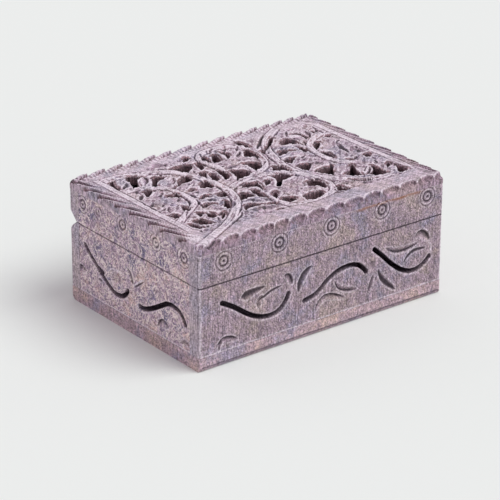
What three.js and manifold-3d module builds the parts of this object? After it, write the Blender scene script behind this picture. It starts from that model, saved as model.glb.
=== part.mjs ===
// A carved soapstone keepsake box: five slabs glued into a base, five into a hinged lid.
// Millimetres. X runs along the long front face, Y from front to back, Z up.
// The origin is the middle of the underside.

import * as THREE from 'three';
import { mergeVertices } from 'three/addons/utils/BufferGeometryUtils.js';
import Module from 'manifold-3d';

const wasm = await Module();
wasm.setup();

// Overall sizes
const boxLength = 152;
const boxDepth = 108;
const baseHeight = 43.25;
const lidHeight = 22;
const partingGap = 0.3;

// Slabs
const wallThickness = 8;
const floorThickness = 7.5;
const panelThickness = 5.5;
const cornerRadius = 1.2;
const frontFootRadius = 2.2;
const backFootRadius = 4;

// Hinge groove along the back of the parting line
const grooveReach = 5;
const grooveShoulder = 4;
const grooveShoulderDrop = 3.1;
const grooveHeight = 5;

// Wire hinges: an eye pin in the base, and a staple in the lid that passes through it
const wireDiameter = 1.4;
const wireClearance = 0.3;
const hingeInset = 4;
const hingeSpacing = 92;
const legLength = 12;
const stapleSideGap = 0.5;
const pocketClearance = 0.4;

// Pierced waves in the walls
const waveWidth = 2.6;
const waveEndShare = 0.7;

// Scooped edge of the lid panel
const scoopPitch = 10.6;
const scoopWidth = 8.8;
const scoopDepth = 2;
const scoopReach = 8;
const scoopSkew = THREE.MathUtils.degToRad( 38 );

// One overrun serves all cuts
const overrun = 1;

// Counts of steps in curves
const cornerSteps = 3;
const waveSteps = 12;
const holeStepsPerPoint = 2;
const wireSides = 10;
const eyeSteps = 18;
const scoopSides = 8;
const pocketSides = 20;

// Waves as [along, up]: along in shares of the wall's half length from its middle, up in shares of
// its height. They read from left to right as seen from outside the box.
const longWaveShares = [
	[
		[ - 0.83, 0.72 ], [ - 0.72, 0.585 ], [ - 0.63, 0.445 ], [ - 0.55, 0.35 ],
		[ - 0.47, 0.305 ], [ - 0.395, 0.315 ], [ - 0.33, 0.405 ], [ - 0.29, 0.555 ],
	],
	[
		[ - 0.17, 0.35 ], [ - 0.065, 0.405 ], [ 0.025, 0.555 ], [ 0.13, 0.65 ],
		[ 0.235, 0.66 ], [ 0.305, 0.6 ], [ 0.355, 0.475 ],
	],
	[
		[ 0.41, 0.795 ], [ 0.485, 0.655 ], [ 0.565, 0.485 ], [ 0.66, 0.335 ],
		[ 0.75, 0.275 ], [ 0.84, 0.32 ], [ 0.9, 0.43 ],
	],
];
const shortWaveShares = [
	[
		[ - 0.91, 0.74 ], [ - 0.78, 0.6 ], [ - 0.65, 0.475 ], [ - 0.52, 0.36 ],
		[ - 0.39, 0.265 ], [ - 0.285, 0.245 ], [ - 0.175, 0.285 ], [ - 0.1, 0.405 ],
	],
	[
		[ 0.1, 0.265 ], [ 0.195, 0.265 ], [ 0.325, 0.335 ], [ 0.48, 0.445 ],
		[ 0.61, 0.54 ], [ 0.74, 0.545 ], [ 0.85, 0.5 ], [ 0.925, 0.36 ],
	],
];

// Openings of the jali as [along, across], in shares of the panel's half length and half depth.
// Each is a closed smooth curve through its points.
const jaliHoleShares = [
	// Left side, back to front
	[
		[ - 0.86, 0.6 ], [ - 0.85, 0.66 ], [ - 0.79, 0.72 ],
		[ - 0.825, 0.62 ], [ - 0.84, 0.5 ], [ - 0.855, 0.48 ],
	],
	[
		[ - 0.76, 0.45 ], [ - 0.725, 0.58 ], [ - 0.715, 0.67 ], [ - 0.67, 0.72 ],
		[ - 0.6, 0.635 ], [ - 0.66, 0.585 ], [ - 0.695, 0.5 ], [ - 0.71, 0.45 ],
	],
	[
		[ - 0.65, 0.37 ], [ - 0.6, 0.47 ], [ - 0.565, 0.55 ], [ - 0.53, 0.56 ],
		[ - 0.475, 0.49 ], [ - 0.55, 0.46 ], [ - 0.595, 0.41 ], [ - 0.61, 0.36 ],
	],
	[ [ - 0.77, 0.21 ], [ - 0.757, 0.3 ], [ - 0.725, 0.34 ], [ - 0.68, 0.32 ], [ - 0.71, 0.26 ] ],
	[
		[ - 0.675, 0.09 ], [ - 0.66, 0.135 ], [ - 0.625, 0.1 ],
		[ - 0.585, 0.135 ], [ - 0.605, 0.03 ], [ - 0.625, 0.04 ],
	],
	[ [ - 0.51, 0.07 ], [ - 0.46, 0.12 ], [ - 0.465, 0.07 ] ],
	[
		[ - 0.555, 0.215 ], [ - 0.5, 0.265 ], [ - 0.475, 0.33 ], [ - 0.42, 0.365 ],
		[ - 0.36, 0.41 ], [ - 0.35, 0.35 ], [ - 0.39, 0.27 ], [ - 0.46, 0.275 ],
	],
	[ [ - 0.86, - 0.29 ], [ - 0.845, - 0.26 ], [ - 0.8, - 0.265 ], [ - 0.8, - 0.34 ], [ - 0.83, - 0.35 ] ],
	[
		[ - 0.72, - 0.25 ], [ - 0.705, - 0.195 ], [ - 0.69, - 0.135 ],
		[ - 0.67, - 0.2 ], [ - 0.665, - 0.25 ], [ - 0.7, - 0.28 ],
	],
	[
		[ - 0.785, - 0.53 ], [ - 0.765, - 0.485 ], [ - 0.72, - 0.49 ],
		[ - 0.705, - 0.56 ], [ - 0.69, - 0.64 ], [ - 0.76, - 0.605 ],
	],
	[
		[ - 0.845, - 0.56 ], [ - 0.835, - 0.525 ], [ - 0.805, - 0.53 ],
		[ - 0.785, - 0.6 ], [ - 0.79, - 0.67 ], [ - 0.82, - 0.66 ],
	],
	[ [ - 0.7, - 0.45 ], [ - 0.695, - 0.41 ], [ - 0.68, - 0.345 ], [ - 0.65, - 0.37 ], [ - 0.67, - 0.43 ] ],
	[
		[ - 0.65, - 0.52 ], [ - 0.645, - 0.44 ], [ - 0.62, - 0.4 ],
		[ - 0.59, - 0.46 ], [ - 0.6, - 0.51 ], [ - 0.63, - 0.545 ],
	],
	[
		[ - 0.615, - 0.61 ], [ - 0.58, - 0.54 ], [ - 0.525, - 0.47 ],
		[ - 0.545, - 0.53 ], [ - 0.58, - 0.585 ],
	],
	[
		[ - 0.595, - 0.31 ], [ - 0.595, - 0.27 ], [ - 0.545, - 0.24 ],
		[ - 0.495, - 0.26 ], [ - 0.495, - 0.31 ], [ - 0.54, - 0.28 ],
	],
	[
		[ - 0.48, - 0.385 ], [ - 0.45, - 0.34 ], [ - 0.415, - 0.27 ],
		[ - 0.415, - 0.34 ], [ - 0.44, - 0.41 ], [ - 0.465, - 0.45 ],
	],
	[ [ - 0.53, - 0.13 ], [ - 0.47, - 0.075 ], [ - 0.435, - 0.09 ], [ - 0.5, - 0.135 ] ],

	// Left of the middle
	[
		[ - 0.395, 0.615 ], [ - 0.33, 0.64 ], [ - 0.25, 0.63 ], [ - 0.22, 0.585 ],
		[ - 0.26, 0.51 ], [ - 0.34, 0.465 ], [ - 0.345, 0.53 ],
	],
	[ [ - 0.235, 0.685 ], [ - 0.215, 0.74 ], [ - 0.175, 0.785 ], [ - 0.165, 0.74 ], [ - 0.2, 0.69 ] ],
	[
		[ - 0.225, 0.43 ], [ - 0.21, 0.52 ], [ - 0.195, 0.585 ],
		[ - 0.16, 0.6 ], [ - 0.16, 0.53 ], [ - 0.19, 0.455 ],
	],
	[ [ - 0.285, 0.34 ], [ - 0.27, 0.385 ], [ - 0.22, 0.37 ], [ - 0.25, 0.3 ], [ - 0.27, 0.265 ] ],
	[
		[ - 0.263, 0.14 ], [ - 0.255, 0.22 ], [ - 0.238, 0.29 ],
		[ - 0.205, 0.315 ], [ - 0.2, 0.23 ], [ - 0.225, 0.15 ],
	],
	[
		[ - 0.195, 0.11 ], [ - 0.172, 0.21 ], [ - 0.163, 0.31 ], [ - 0.135, 0.345 ],
		[ - 0.11, 0.27 ], [ - 0.13, 0.17 ], [ - 0.165, 0.12 ],
	],
	[
		[ - 0.137, 0.05 ], [ - 0.103, 0.12 ], [ - 0.09, 0.23 ], [ - 0.06, 0.26 ],
		[ 0.012, 0.16 ], [ - 0.01, 0.075 ], [ - 0.07, 0.055 ],
	],
	[ [ - 0.112, 0.6 ], [ - 0.103, 0.67 ], [ - 0.07, 0.69 ], [ - 0.075, 0.56 ], [ - 0.092, 0.5 ] ],
	[
		[ - 0.08, 0.5 ], [ - 0.05, 0.6 ], [ - 0.015, 0.665 ],
		[ 0.015, 0.68 ], [ 0, 0.56 ], [ - 0.035, 0.495 ],
	],
	[
		[ - 0.41, 0.085 ], [ - 0.39, 0.145 ], [ - 0.315, 0.205 ],
		[ - 0.305, 0.1 ], [ - 0.335, 0.03 ], [ - 0.375, 0.06 ],
	],
	[
		[ - 0.41, - 0.165 ], [ - 0.385, - 0.11 ], [ - 0.34, - 0.115 ],
		[ - 0.318, - 0.1 ], [ - 0.345, - 0.19 ], [ - 0.38, - 0.215 ],
	],
	[
		[ - 0.33, - 0.365 ], [ - 0.285, - 0.265 ], [ - 0.245, - 0.225 ],
		[ - 0.205, - 0.31 ], [ - 0.215, - 0.36 ], [ - 0.26, - 0.35 ],
	],
	[
		[ - 0.2, - 0.38 ], [ - 0.195, - 0.28 ], [ - 0.18, - 0.23 ],
		[ - 0.145, - 0.25 ], [ - 0.155, - 0.36 ], [ - 0.17, - 0.46 ],
	],
	[
		[ - 0.195, - 0.13 ], [ - 0.13, - 0.055 ], [ - 0.085, - 0.105 ], [ - 0.057, - 0.1 ],
		[ - 0.08, - 0.22 ], [ - 0.125, - 0.32 ], [ - 0.11, - 0.2 ], [ - 0.15, - 0.165 ],
	],
	[
		[ - 0.135, - 0.485 ], [ - 0.115, - 0.43 ], [ - 0.055, - 0.375 ],
		[ - 0.075, - 0.44 ], [ - 0.125, - 0.52 ],
	],
	[
		[ - 0.115, - 0.57 ], [ - 0.09, - 0.54 ], [ - 0.05, - 0.55 ],
		[ - 0.02, - 0.6 ], [ - 0.045, - 0.66 ], [ - 0.09, - 0.655 ],
	],
	[
		[ - 0.405, - 0.57 ], [ - 0.365, - 0.475 ], [ - 0.325, - 0.475 ],
		[ - 0.28, - 0.525 ], [ - 0.25, - 0.56 ], [ - 0.32, - 0.55 ],
	],
	[ [ - 0.235, - 0.59 ], [ - 0.2, - 0.57 ], [ - 0.165, - 0.61 ], [ - 0.185, - 0.63 ] ],
	[ [ - 0.24, - 0.745 ], [ - 0.215, - 0.73 ], [ - 0.195, - 0.75 ], [ - 0.22, - 0.765 ] ],
	[ [ - 0.05, - 0.23 ], [ - 0.02, - 0.145 ], [ 0.035, - 0.12 ], [ 0.015, - 0.18 ] ],

	// Right of the middle
	[ [ 0.033, 0.505 ], [ 0.057, 0.58 ], [ 0.055, 0.7 ], [ 0.075, 0.7 ], [ 0.1, 0.655 ], [ 0.085, 0.56 ] ],
	[
		[ 0.15, 0.46 ], [ 0.18, 0.53 ], [ 0.215, 0.6 ], [ 0.24, 0.58 ],
		[ 0.245, 0.48 ], [ 0.228, 0.37 ], [ 0.207, 0.3 ], [ 0.205, 0.39 ],
	],
	[
		[ 0.055, 0.335 ], [ 0.085, 0.345 ], [ 0.15, 0.28 ], [ 0.15, 0.19 ],
		[ 0.08, 0.115 ], [ 0.055, 0.14 ], [ 0.073, 0.24 ],
	],
	[ [ 0.24, 0.77 ], [ 0.264, 0.71 ], [ 0.268, 0.65 ], [ 0.283, 0.605 ], [ 0.3, 0.7 ], [ 0.275, 0.79 ] ],
	[
		[ 0.285, 0.405 ], [ 0.295, 0.48 ], [ 0.32, 0.48 ], [ 0.41, 0.58 ],
		[ 0.51, 0.715 ], [ 0.515, 0.675 ], [ 0.395, 0.52 ], [ 0.31, 0.43 ],
	],
	[
		[ 0.345, 0.275 ], [ 0.36, 0.33 ], [ 0.395, 0.37 ], [ 0.455, 0.345 ],
		[ 0.51, 0.28 ], [ 0.44, 0.31 ], [ 0.39, 0.285 ],
	],
	[ [ 0.3, 0.175 ], [ 0.36, 0.18 ], [ 0.42, 0.165 ], [ 0.37, 0.115 ], [ 0.32, 0.055 ], [ 0.312, 0.11 ] ],
	[
		[ 0.142, 0.015 ], [ 0.165, 0.06 ], [ 0.19, 0.11 ], [ 0.205, 0.07 ],
		[ 0.24, 0.08 ], [ 0.247, 0 ], [ 0.235, - 0.07 ], [ 0.205, - 0.03 ],
	],
	[
		[ 0, - 0.29 ], [ 0.025, - 0.31 ], [ 0.06, - 0.265 ], [ 0.095, - 0.215 ], [ 0.165, - 0.21 ],
		[ 0.195, - 0.14 ], [ 0.17, - 0.075 ], [ 0.07, - 0.06 ], [ 0.068, - 0.155 ], [ 0.03, - 0.24 ],
	],
	[
		[ 0.185, - 0.42 ], [ 0.205, - 0.37 ], [ 0.25, - 0.36 ], [ 0.29, - 0.42 ],
		[ 0.275, - 0.53 ], [ 0.232, - 0.6 ], [ 0.222, - 0.53 ],
	],
	[
		[ 0.01, - 0.7 ], [ 0.035, - 0.64 ], [ 0.085, - 0.61 ], [ 0.18, - 0.62 ],
		[ 0.165, - 0.7 ], [ 0.1, - 0.74 ], [ 0.03, - 0.745 ],
	],
	[ [ 0.23, - 0.77 ], [ 0.243, - 0.745 ], [ 0.262, - 0.755 ], [ 0.255, - 0.785 ] ],
	[
		[ 0.275, - 0.7 ], [ 0.295, - 0.65 ], [ 0.33, - 0.625 ],
		[ 0.338, - 0.685 ], [ 0.36, - 0.735 ], [ 0.325, - 0.765 ],
	],
	[
		[ 0.31, - 0.1 ], [ 0.315, - 0.04 ], [ 0.36, - 0.01 ],
		[ 0.43, - 0.045 ], [ 0.38, - 0.12 ], [ 0.33, - 0.17 ],
	],
	[
		[ 0.36, - 0.25 ], [ 0.4, - 0.21 ], [ 0.52, - 0.2 ],
		[ 0.48, - 0.28 ], [ 0.42, - 0.39 ], [ 0.39, - 0.33 ],
	],
	[
		[ 0.435, - 0.575 ], [ 0.46, - 0.575 ], [ 0.51, - 0.63 ],
		[ 0.61, - 0.69 ], [ 0.56, - 0.705 ], [ 0.48, - 0.64 ],
	],

	// Right side, back to front
	[ [ 0.475, 0.48 ], [ 0.52, 0.56 ], [ 0.575, 0.6 ], [ 0.59, 0.52 ], [ 0.582, 0.42 ], [ 0.545, 0.465 ] ],
	[
		[ 0.64, 0.64 ], [ 0.665, 0.655 ], [ 0.705, 0.6 ], [ 0.71, 0.52 ],
		[ 0.68, 0.45 ], [ 0.688, 0.55 ], [ 0.67, 0.61 ],
	],
	[ [ 0.62, 0.205 ], [ 0.635, 0.28 ], [ 0.685, 0.335 ], [ 0.722, 0.345 ], [ 0.69, 0.27 ] ],
	[ [ 0.585, 0.07 ], [ 0.61, 0.11 ], [ 0.643, 0.095 ], [ 0.64, 0.03 ], [ 0.613, - 0.085 ], [ 0.6, 0 ] ],
	[ [ 0.785, 0.535 ], [ 0.803, 0.6 ], [ 0.825, 0.59 ], [ 0.81, 0.55 ] ],
	[ [ 0.52, 0.24 ], [ 0.53, 0.31 ], [ 0.553, 0.355 ], [ 0.57, 0.3 ], [ 0.552, 0.2 ] ],
	[ [ 0.658, - 0.19 ], [ 0.672, - 0.165 ], [ 0.692, - 0.18 ], [ 0.683, - 0.22 ] ],
	[ [ 0.79, - 0.24 ], [ 0.8, - 0.19 ], [ 0.83, - 0.16 ], [ 0.85, - 0.17 ], [ 0.83, - 0.235 ] ],
	[
		[ 0.475, - 0.455 ], [ 0.545, - 0.41 ], [ 0.6, - 0.32 ], [ 0.64, - 0.285 ],
		[ 0.605, - 0.39 ], [ 0.585, - 0.46 ], [ 0.57, - 0.555 ], [ 0.525, - 0.54 ],
	],
	[
		[ 0.6, - 0.58 ], [ 0.675, - 0.53 ], [ 0.705, - 0.45 ], [ 0.725, - 0.415 ],
		[ 0.733, - 0.5 ], [ 0.74, - 0.6 ], [ 0.725, - 0.67 ], [ 0.66, - 0.645 ],
	],
	[ [ 0.782, - 0.555 ], [ 0.815, - 0.485 ], [ 0.845, - 0.46 ], [ 0.83, - 0.525 ] ],
	[
		[ 0.79, - 0.7 ], [ 0.82, - 0.63 ], [ 0.856, - 0.555 ],
		[ 0.868, - 0.64 ], [ 0.868, - 0.71 ], [ 0.81, - 0.725 ],
	],
	[ [ 0.795, 0.42 ], [ 0.825, 0.435 ], [ 0.857, 0.39 ], [ 0.82, 0.385 ] ],
];

// Sizes that follow
const halfLength = boxLength / 2;
const halfDepth = boxDepth / 2;
const innerHalfDepth = halfDepth - wallThickness;
const baseWallHeight = baseHeight - floorThickness;
const railHeight = lidHeight - panelThickness;
const wireRadius = wireDiameter / 2;
const eyeRadius = wireDiameter + wireClearance;
const staplePitch = 2 * wireDiameter + 2 * stapleSideGap;
const pocketRadius = eyeRadius + wireRadius + pocketClearance;
const pocketWidth = staplePitch + wireDiameter + 2 * pocketClearance;
const boreRadius = wireRadius + wireClearance;
const hingeY = halfDepth - hingeInset;
const hingeZ = baseHeight + partingGap / 2;

// Materials
const endStone = new THREE.MeshStandardMaterial( { color: 0x8f807f, roughness: 0.85, metalness: 0 } );
const faceStone = new THREE.MeshStandardMaterial( { color: 0x8c8189, roughness: 0.85, metalness: 0 } );
const paleStone = new THREE.MeshStandardMaterial( { color: 0xa99fab, roughness: 0.8, metalness: 0 } );
const footStone = new THREE.MeshStandardMaterial( { color: 0x97868a, roughness: 0.85, metalness: 0 } );
const steel = new THREE.MeshStandardMaterial( { color: 0x9a9a98, roughness: 0.4, metalness: 1 } );

// Turns a closed geometry into a solid that can be cut and joined
function solidOf( geometry ) {

	geometry.deleteAttribute( 'normal' );
	geometry.deleteAttribute( 'uv' );
	const merged = mergeVertices( geometry );
	return new wasm.Manifold( new wasm.Mesh( {
		numProp: 3,
		vertProperties: merged.attributes.position.array,
		triVerts: Uint32Array.from( merged.index.array ),
	} ) );

}

// Turns a finished solid into a named mesh at its place
function pieceOf( name, solid, material, x, y, z ) {

	const { vertProperties, triVerts } = solid.getMesh();
	const geometry = new THREE.BufferGeometry();
	geometry.setAttribute( 'position', new THREE.BufferAttribute( vertProperties, 3 ) );
	geometry.setIndex( new THREE.BufferAttribute( triVerts, 1 ) );
	geometry.computeVertexNormals();
	const mesh = new THREE.Mesh( geometry, material );
	mesh.name = name;
	mesh.position.set( x, y, z );
	return mesh;

}

// Axes that a flat outline is extruded along: each lists where its across, up and depth go
const alongX = [ new THREE.Vector3( 0, 1, 0 ), new THREE.Vector3( 0, 0, 1 ), new THREE.Vector3( 1, 0, 0 ) ];
const alongY = [ new THREE.Vector3( 1, 0, 0 ), new THREE.Vector3( 0, 0, 1 ), new THREE.Vector3( 0, - 1, 0 ) ];
const alongZ = [ new THREE.Vector3( 1, 0, 0 ), new THREE.Vector3( 0, 1, 0 ), new THREE.Vector3( 0, 0, 1 ) ];

// An outline extruded by a length to both sides of the middle, or from zero up where it stands
function prism( outline, axes, depth, fromZero = false ) {

	const geometry = new THREE.ExtrudeGeometry( outline, { depth, bevelEnabled: false, curveSegments: cornerSteps } );
	if ( ! fromZero ) geometry.translate( 0, 0, - depth / 2 );
	geometry.applyMatrix4( new THREE.Matrix4().makeBasis( ...axes ) );
	return solidOf( geometry );

}

function polygon( points ) {

	return new THREE.Shape( points.map( ( [ across, up ] ) => new THREE.Vector2( across, up ) ) );

}

// Plan of a long slab with its two outer upright edges worn round; its outer face looks to -Y
function longSlabPlan() {

	const half = wallThickness / 2;
	const plan = new THREE.Shape();
	plan.moveTo( halfLength, half );
	plan.lineTo( - halfLength, half );
	plan.lineTo( - halfLength, cornerRadius - half );
	plan.quadraticCurveTo( - halfLength, - half, cornerRadius - halfLength, - half );
	plan.lineTo( halfLength - cornerRadius, - half );
	plan.quadraticCurveTo( halfLength, - half, halfLength, cornerRadius - half );
	plan.closePath();
	return plan;

}

// A long slab standing on its lower edge; outward is -1 where its outer face looks to -Y, else 1
function longSlab( height, outward ) {

	const slab = prism( longSlabPlan(), alongZ, height, true );
	return outward < 0 ? slab : slab.mirror( [ 0, 1, 0 ] );

}

function shortSlab( height ) {

	const half = wallThickness / 2;
	const plan = polygon( [
		[ - half, - innerHalfDepth ], [ half, - innerHalfDepth ], [ half, innerHalfDepth ], [ - half, innerHalfDepth ],
	] );
	return prism( plan, alongZ, height, true );

}

// Outline of one wave: a ribbon of even width along a smooth curve, with blunt ends
function waveOutline( pointShares, halfSpan, height, direction ) {

	const line = new THREE.SplineCurve( pointShares.map( ( [ along, up ] ) =>
		new THREE.Vector2( direction * along * halfSpan, up * height ) ) );
	const left = [];
	const right = [];
	for ( let step = 0; step <= waveSteps; step ++ ) {

		const point = line.getPointAt( step / waveSteps );
		const tangent = line.getTangentAt( step / waveSteps );
		const side = new THREE.Vector2( - tangent.y, tangent.x ).multiplyScalar( waveWidth / 2 );
		left.push( point.clone().add( side ) );
		right.push( point.clone().sub( side ) );

	}

	const reach = waveEndShare * waveWidth / 2;
	const start = line.getPointAt( 0 ).addScaledVector( line.getTangentAt( 0 ), - reach );
	const end = line.getPointAt( 1 ).addScaledVector( line.getTangentAt( 1 ), reach );
	return new THREE.Shape( [ start, ...left, end, ...right.reverse() ] );

}

// Cuts every wave of a wall; direction is -1 where left to right from outside runs against the axis
function cutWaves( slab, waves, halfSpan, axes, direction ) {

	return waves.reduce( ( wall, wave ) => {

		const outline = waveOutline( wave, halfSpan, baseWallHeight, direction );
		return wall.subtract( prism( outline, axes, wallThickness + 2 * overrun ) );

	}, slab );

}

// A round bar centred on its middle, along X or upright
function bar( radius, length, sides, axes ) {

	const geometry = new THREE.CylinderGeometry( radius, radius, length, sides );
	geometry.rotateX( Math.PI / 2 );
	geometry.applyMatrix4( new THREE.Matrix4().makeBasis( ...axes ) );
	return solidOf( geometry );

}

// Pocket and bores that one hinge needs in a back slab, about the hinge axis at the origin
function hingeCut( legOffsets, direction ) {

	const pocket = bar( pocketRadius, pocketWidth, pocketSides, alongX );
	const boreLength = legLength + overrun;
	const bore = bar( boreRadius, boreLength, wireSides, alongZ );
	return legOffsets.reduce( ( cut, offset ) =>
		cut.add( bore.translate( [ offset, 0, direction * boreLength / 2 ] ) ), pocket );

}

// Cuts both hinges' pockets and bores; the hinge axis lies at y, z in the slab's own frame
function cutHinges( slab, legOffsets, direction, y, z ) {

	const cut = hingeCut( legOffsets, direction );
	return [ - 1, 1 ].reduce( ( wall, side ) =>
		wall.subtract( cut.translate( [ side * hingeSpacing / 2, y, z ] ) ), slab );

}

// Slab under the walls, with its lower long edges and its upright edges worn round
function floorSlab() {

	const plan = new THREE.Shape();
	const straightX = halfLength - cornerRadius;
	const straightY = halfDepth - cornerRadius;
	plan.moveTo( - straightX, - halfDepth );
	plan.lineTo( straightX, - halfDepth );
	plan.quadraticCurveTo( halfLength, - halfDepth, halfLength, - straightY );
	plan.lineTo( halfLength, straightY );
	plan.quadraticCurveTo( halfLength, halfDepth, straightX, halfDepth );
	plan.lineTo( - straightX, halfDepth );
	plan.quadraticCurveTo( - halfLength, halfDepth, - halfLength, straightY );
	plan.lineTo( - halfLength, - straightY );
	plan.quadraticCurveTo( - halfLength, - halfDepth, - straightX, - halfDepth );

	const profile = new THREE.Shape();
	profile.moveTo( frontFootRadius - halfDepth, 0 );
	profile.lineTo( halfDepth - backFootRadius, 0 );
	profile.quadraticCurveTo( halfDepth, 0, halfDepth, backFootRadius );
	profile.lineTo( halfDepth, floorThickness );
	profile.lineTo( - halfDepth, floorThickness );
	profile.lineTo( - halfDepth, frontFootRadius );
	profile.quadraticCurveTo( - halfDepth, 0, frontFootRadius - halfDepth, 0 );

	return prism( plan, alongZ, floorThickness, true ).intersect( prism( profile, alongX, boxLength + 2 * overrun ) );

}

// Cuts the lower side of the hinge groove from the top back edge of the back wall
function cutBaseGroove( wall ) {

	const outer = wallThickness / 2;
	const cut = polygon( [
		[ outer - grooveReach, baseWallHeight ],
		[ outer - grooveReach + grooveShoulder, baseWallHeight - grooveShoulderDrop ],
		[ outer, baseWallHeight - grooveHeight ],
		[ outer + overrun, baseWallHeight - grooveHeight ],
		[ outer + overrun, baseWallHeight + overrun ],
		[ outer - grooveReach, baseWallHeight + overrun ],
	] );
	return wall.subtract( prism( cut, alongX, boxLength + 2 * overrun ) );

}

// Cuts the upper side of the groove from the lower back edge of the lid's back rail
function cutLidGroove( rail ) {

	const outer = wallThickness / 2;
	const cut = polygon( [
		[ outer - grooveReach - overrun, - overrun ],
		[ outer + overrun, - overrun ],
		[ outer + overrun, grooveHeight + overrun ],
	] );
	return rail.subtract( prism( cut, alongX, boxLength + 2 * overrun ) );

}

// One opening of the jali, as a closed smooth curve
function jaliHole( pointShares ) {

	const points = pointShares.map( ( [ along, across ] ) =>
		new THREE.Vector3( along * halfLength, across * halfDepth, 0 ) );
	const curve = new THREE.CatmullRomCurve3( points, true );
	const samples = curve.getPoints( holeStepsPerPoint * points.length ).slice( 0, - 1 );
	return new THREE.Path( samples.map( ( point ) => new THREE.Vector2( point.x, point.y ) ) );

}

// A scoop that a gouge takes out of the panel's top edge: a flattened cone, its tip inwards along +Y
function scoop() {

	const length = scoopReach + overrun;
	const radius = scoopWidth / 2;
	const geometry = new THREE.ConeGeometry( radius, length, scoopSides );
	geometry.translate( 0, length / 2 - overrun, 0 );
	geometry.scale( 1, 1, scoopDepth / radius );
	geometry.rotateZ( scoopSkew );
	return solidOf( geometry );

}

// Cuts an even row of scoops along each of the panel's four top edges
function cutScoops( panel ) {

	const cutter = scoop();
	const sides = [
		{ turn: 0, span: boxLength, reach: halfDepth },
		{ turn: 90, span: boxDepth, reach: halfLength },
		{ turn: 180, span: boxLength, reach: halfDepth },
		{ turn: 270, span: boxDepth, reach: halfLength },
	];
	return sides.reduce( ( cut, { turn, span, reach } ) => {

		const count = Math.round( span / scoopPitch );
		const pitch = span / count;
		for ( let index = 0; index < count; index ++ ) {

			const along = ( index + 0.5 ) * pitch - span / 2;
			const placed = cutter.translate( [ along, - reach, panelThickness ] ).rotate( [ 0, 0, turn ] );
			cut = cut.subtract( placed );

		}

		return cut;

	}, panel );

}

function lidPanel() {

	const plan = new THREE.Shape();
	const straightX = halfLength - cornerRadius;
	const straightY = halfDepth - cornerRadius;
	plan.moveTo( - straightX, - halfDepth );
	plan.lineTo( straightX, - halfDepth );
	plan.quadraticCurveTo( halfLength, - halfDepth, halfLength, - straightY );
	plan.lineTo( halfLength, straightY );
	plan.quadraticCurveTo( halfLength, halfDepth, straightX, halfDepth );
	plan.lineTo( - straightX, halfDepth );
	plan.quadraticCurveTo( - halfLength, halfDepth, - halfLength, straightY );
	plan.lineTo( - halfLength, - straightY );
	plan.quadraticCurveTo( - halfLength, - halfDepth, - straightX, - halfDepth );
	plan.holes = jaliHoleShares.map( jaliHole );
	return cutScoops( prism( plan, alongZ, panelThickness, true ) );

}

// Eye pin about the hinge axis: a ring round it and a leg that goes down into the wall
function eyePin() {

	const ring = new THREE.TorusGeometry( eyeRadius, wireRadius, wireSides, eyeSteps );
	ring.rotateY( Math.PI / 2 );
	const leg = bar( wireRadius, legLength - eyeRadius, wireSides, alongZ );
	return solidOf( ring ).add( leg.translate( [ 0, 0, - ( legLength + eyeRadius ) / 2 ] ) );

}

// Staple about the hinge axis: a bar along it and two legs that go up into the rail
function staple() {

	const leg = bar( wireRadius, legLength, wireSides, alongZ );
	const knee = solidOf( new THREE.SphereGeometry( wireRadius, wireSides, wireSides / 2 ) );
	const rod = bar( wireRadius, staplePitch, wireSides, alongX );
	return [ - 1, 1 ].reduce( ( wire, side ) => {

		const x = side * staplePitch / 2;
		return wire.add( knee.translate( [ x, 0, 0 ] ) ).add( leg.translate( [ x, 0, legLength / 2 ] ) );

	}, rod );

}

// Base, standing still
const base = new THREE.Group();
const longPlace = halfDepth - wallThickness / 2;
const shortPlace = halfLength - wallThickness / 2;
const hingeInWall = hingeY - longPlace;

const frontWall = cutWaves( longSlab( baseWallHeight, - 1 ), longWaveShares, halfLength, alongY, 1 );
const backWall = cutHinges(
	cutBaseGroove( cutWaves( longSlab( baseWallHeight, 1 ), longWaveShares, halfLength, alongY, - 1 ) ),
	[ 0 ], - 1, hingeInWall, hingeZ - floorThickness );
const leftWall = cutWaves( shortSlab( baseWallHeight ), shortWaveShares, innerHalfDepth, alongX, - 1 );
const rightWall = cutWaves( shortSlab( baseWallHeight ), shortWaveShares, innerHalfDepth, alongX, 1 );

base.add( pieceOf( 'floor_slab', floorSlab(), footStone, 0, 0, 0 ) );
base.add( pieceOf( 'front_wall', frontWall, faceStone, 0, - longPlace, floorThickness ) );
base.add( pieceOf( 'back_wall', backWall, faceStone, 0, longPlace, floorThickness ) );
base.add( pieceOf( 'left_wall', leftWall, endStone, - shortPlace, 0, floorThickness ) );
base.add( pieceOf( 'right_wall', rightWall, endStone, shortPlace, 0, floorThickness ) );
base.add( pieceOf( 'hinge_eye_left', eyePin(), steel, - hingeSpacing / 2, hingeY, hingeZ ) );
base.add( pieceOf( 'hinge_eye_right', eyePin(), steel, hingeSpacing / 2, hingeY, hingeZ ) );

// Lid, a group whose origin lies on the hinge axis
const lid = new THREE.Group();
lid.position.set( 0, hingeY, hingeZ );
const railZ = partingGap / 2;
const panelZ = railZ + railHeight;

const frontRail = longSlab( railHeight, - 1 );
const backRail = cutHinges(
	cutLidGroove( longSlab( railHeight, 1 ) ),
	[ - staplePitch / 2, staplePitch / 2 ], 1, hingeInWall, - railZ );

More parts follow.
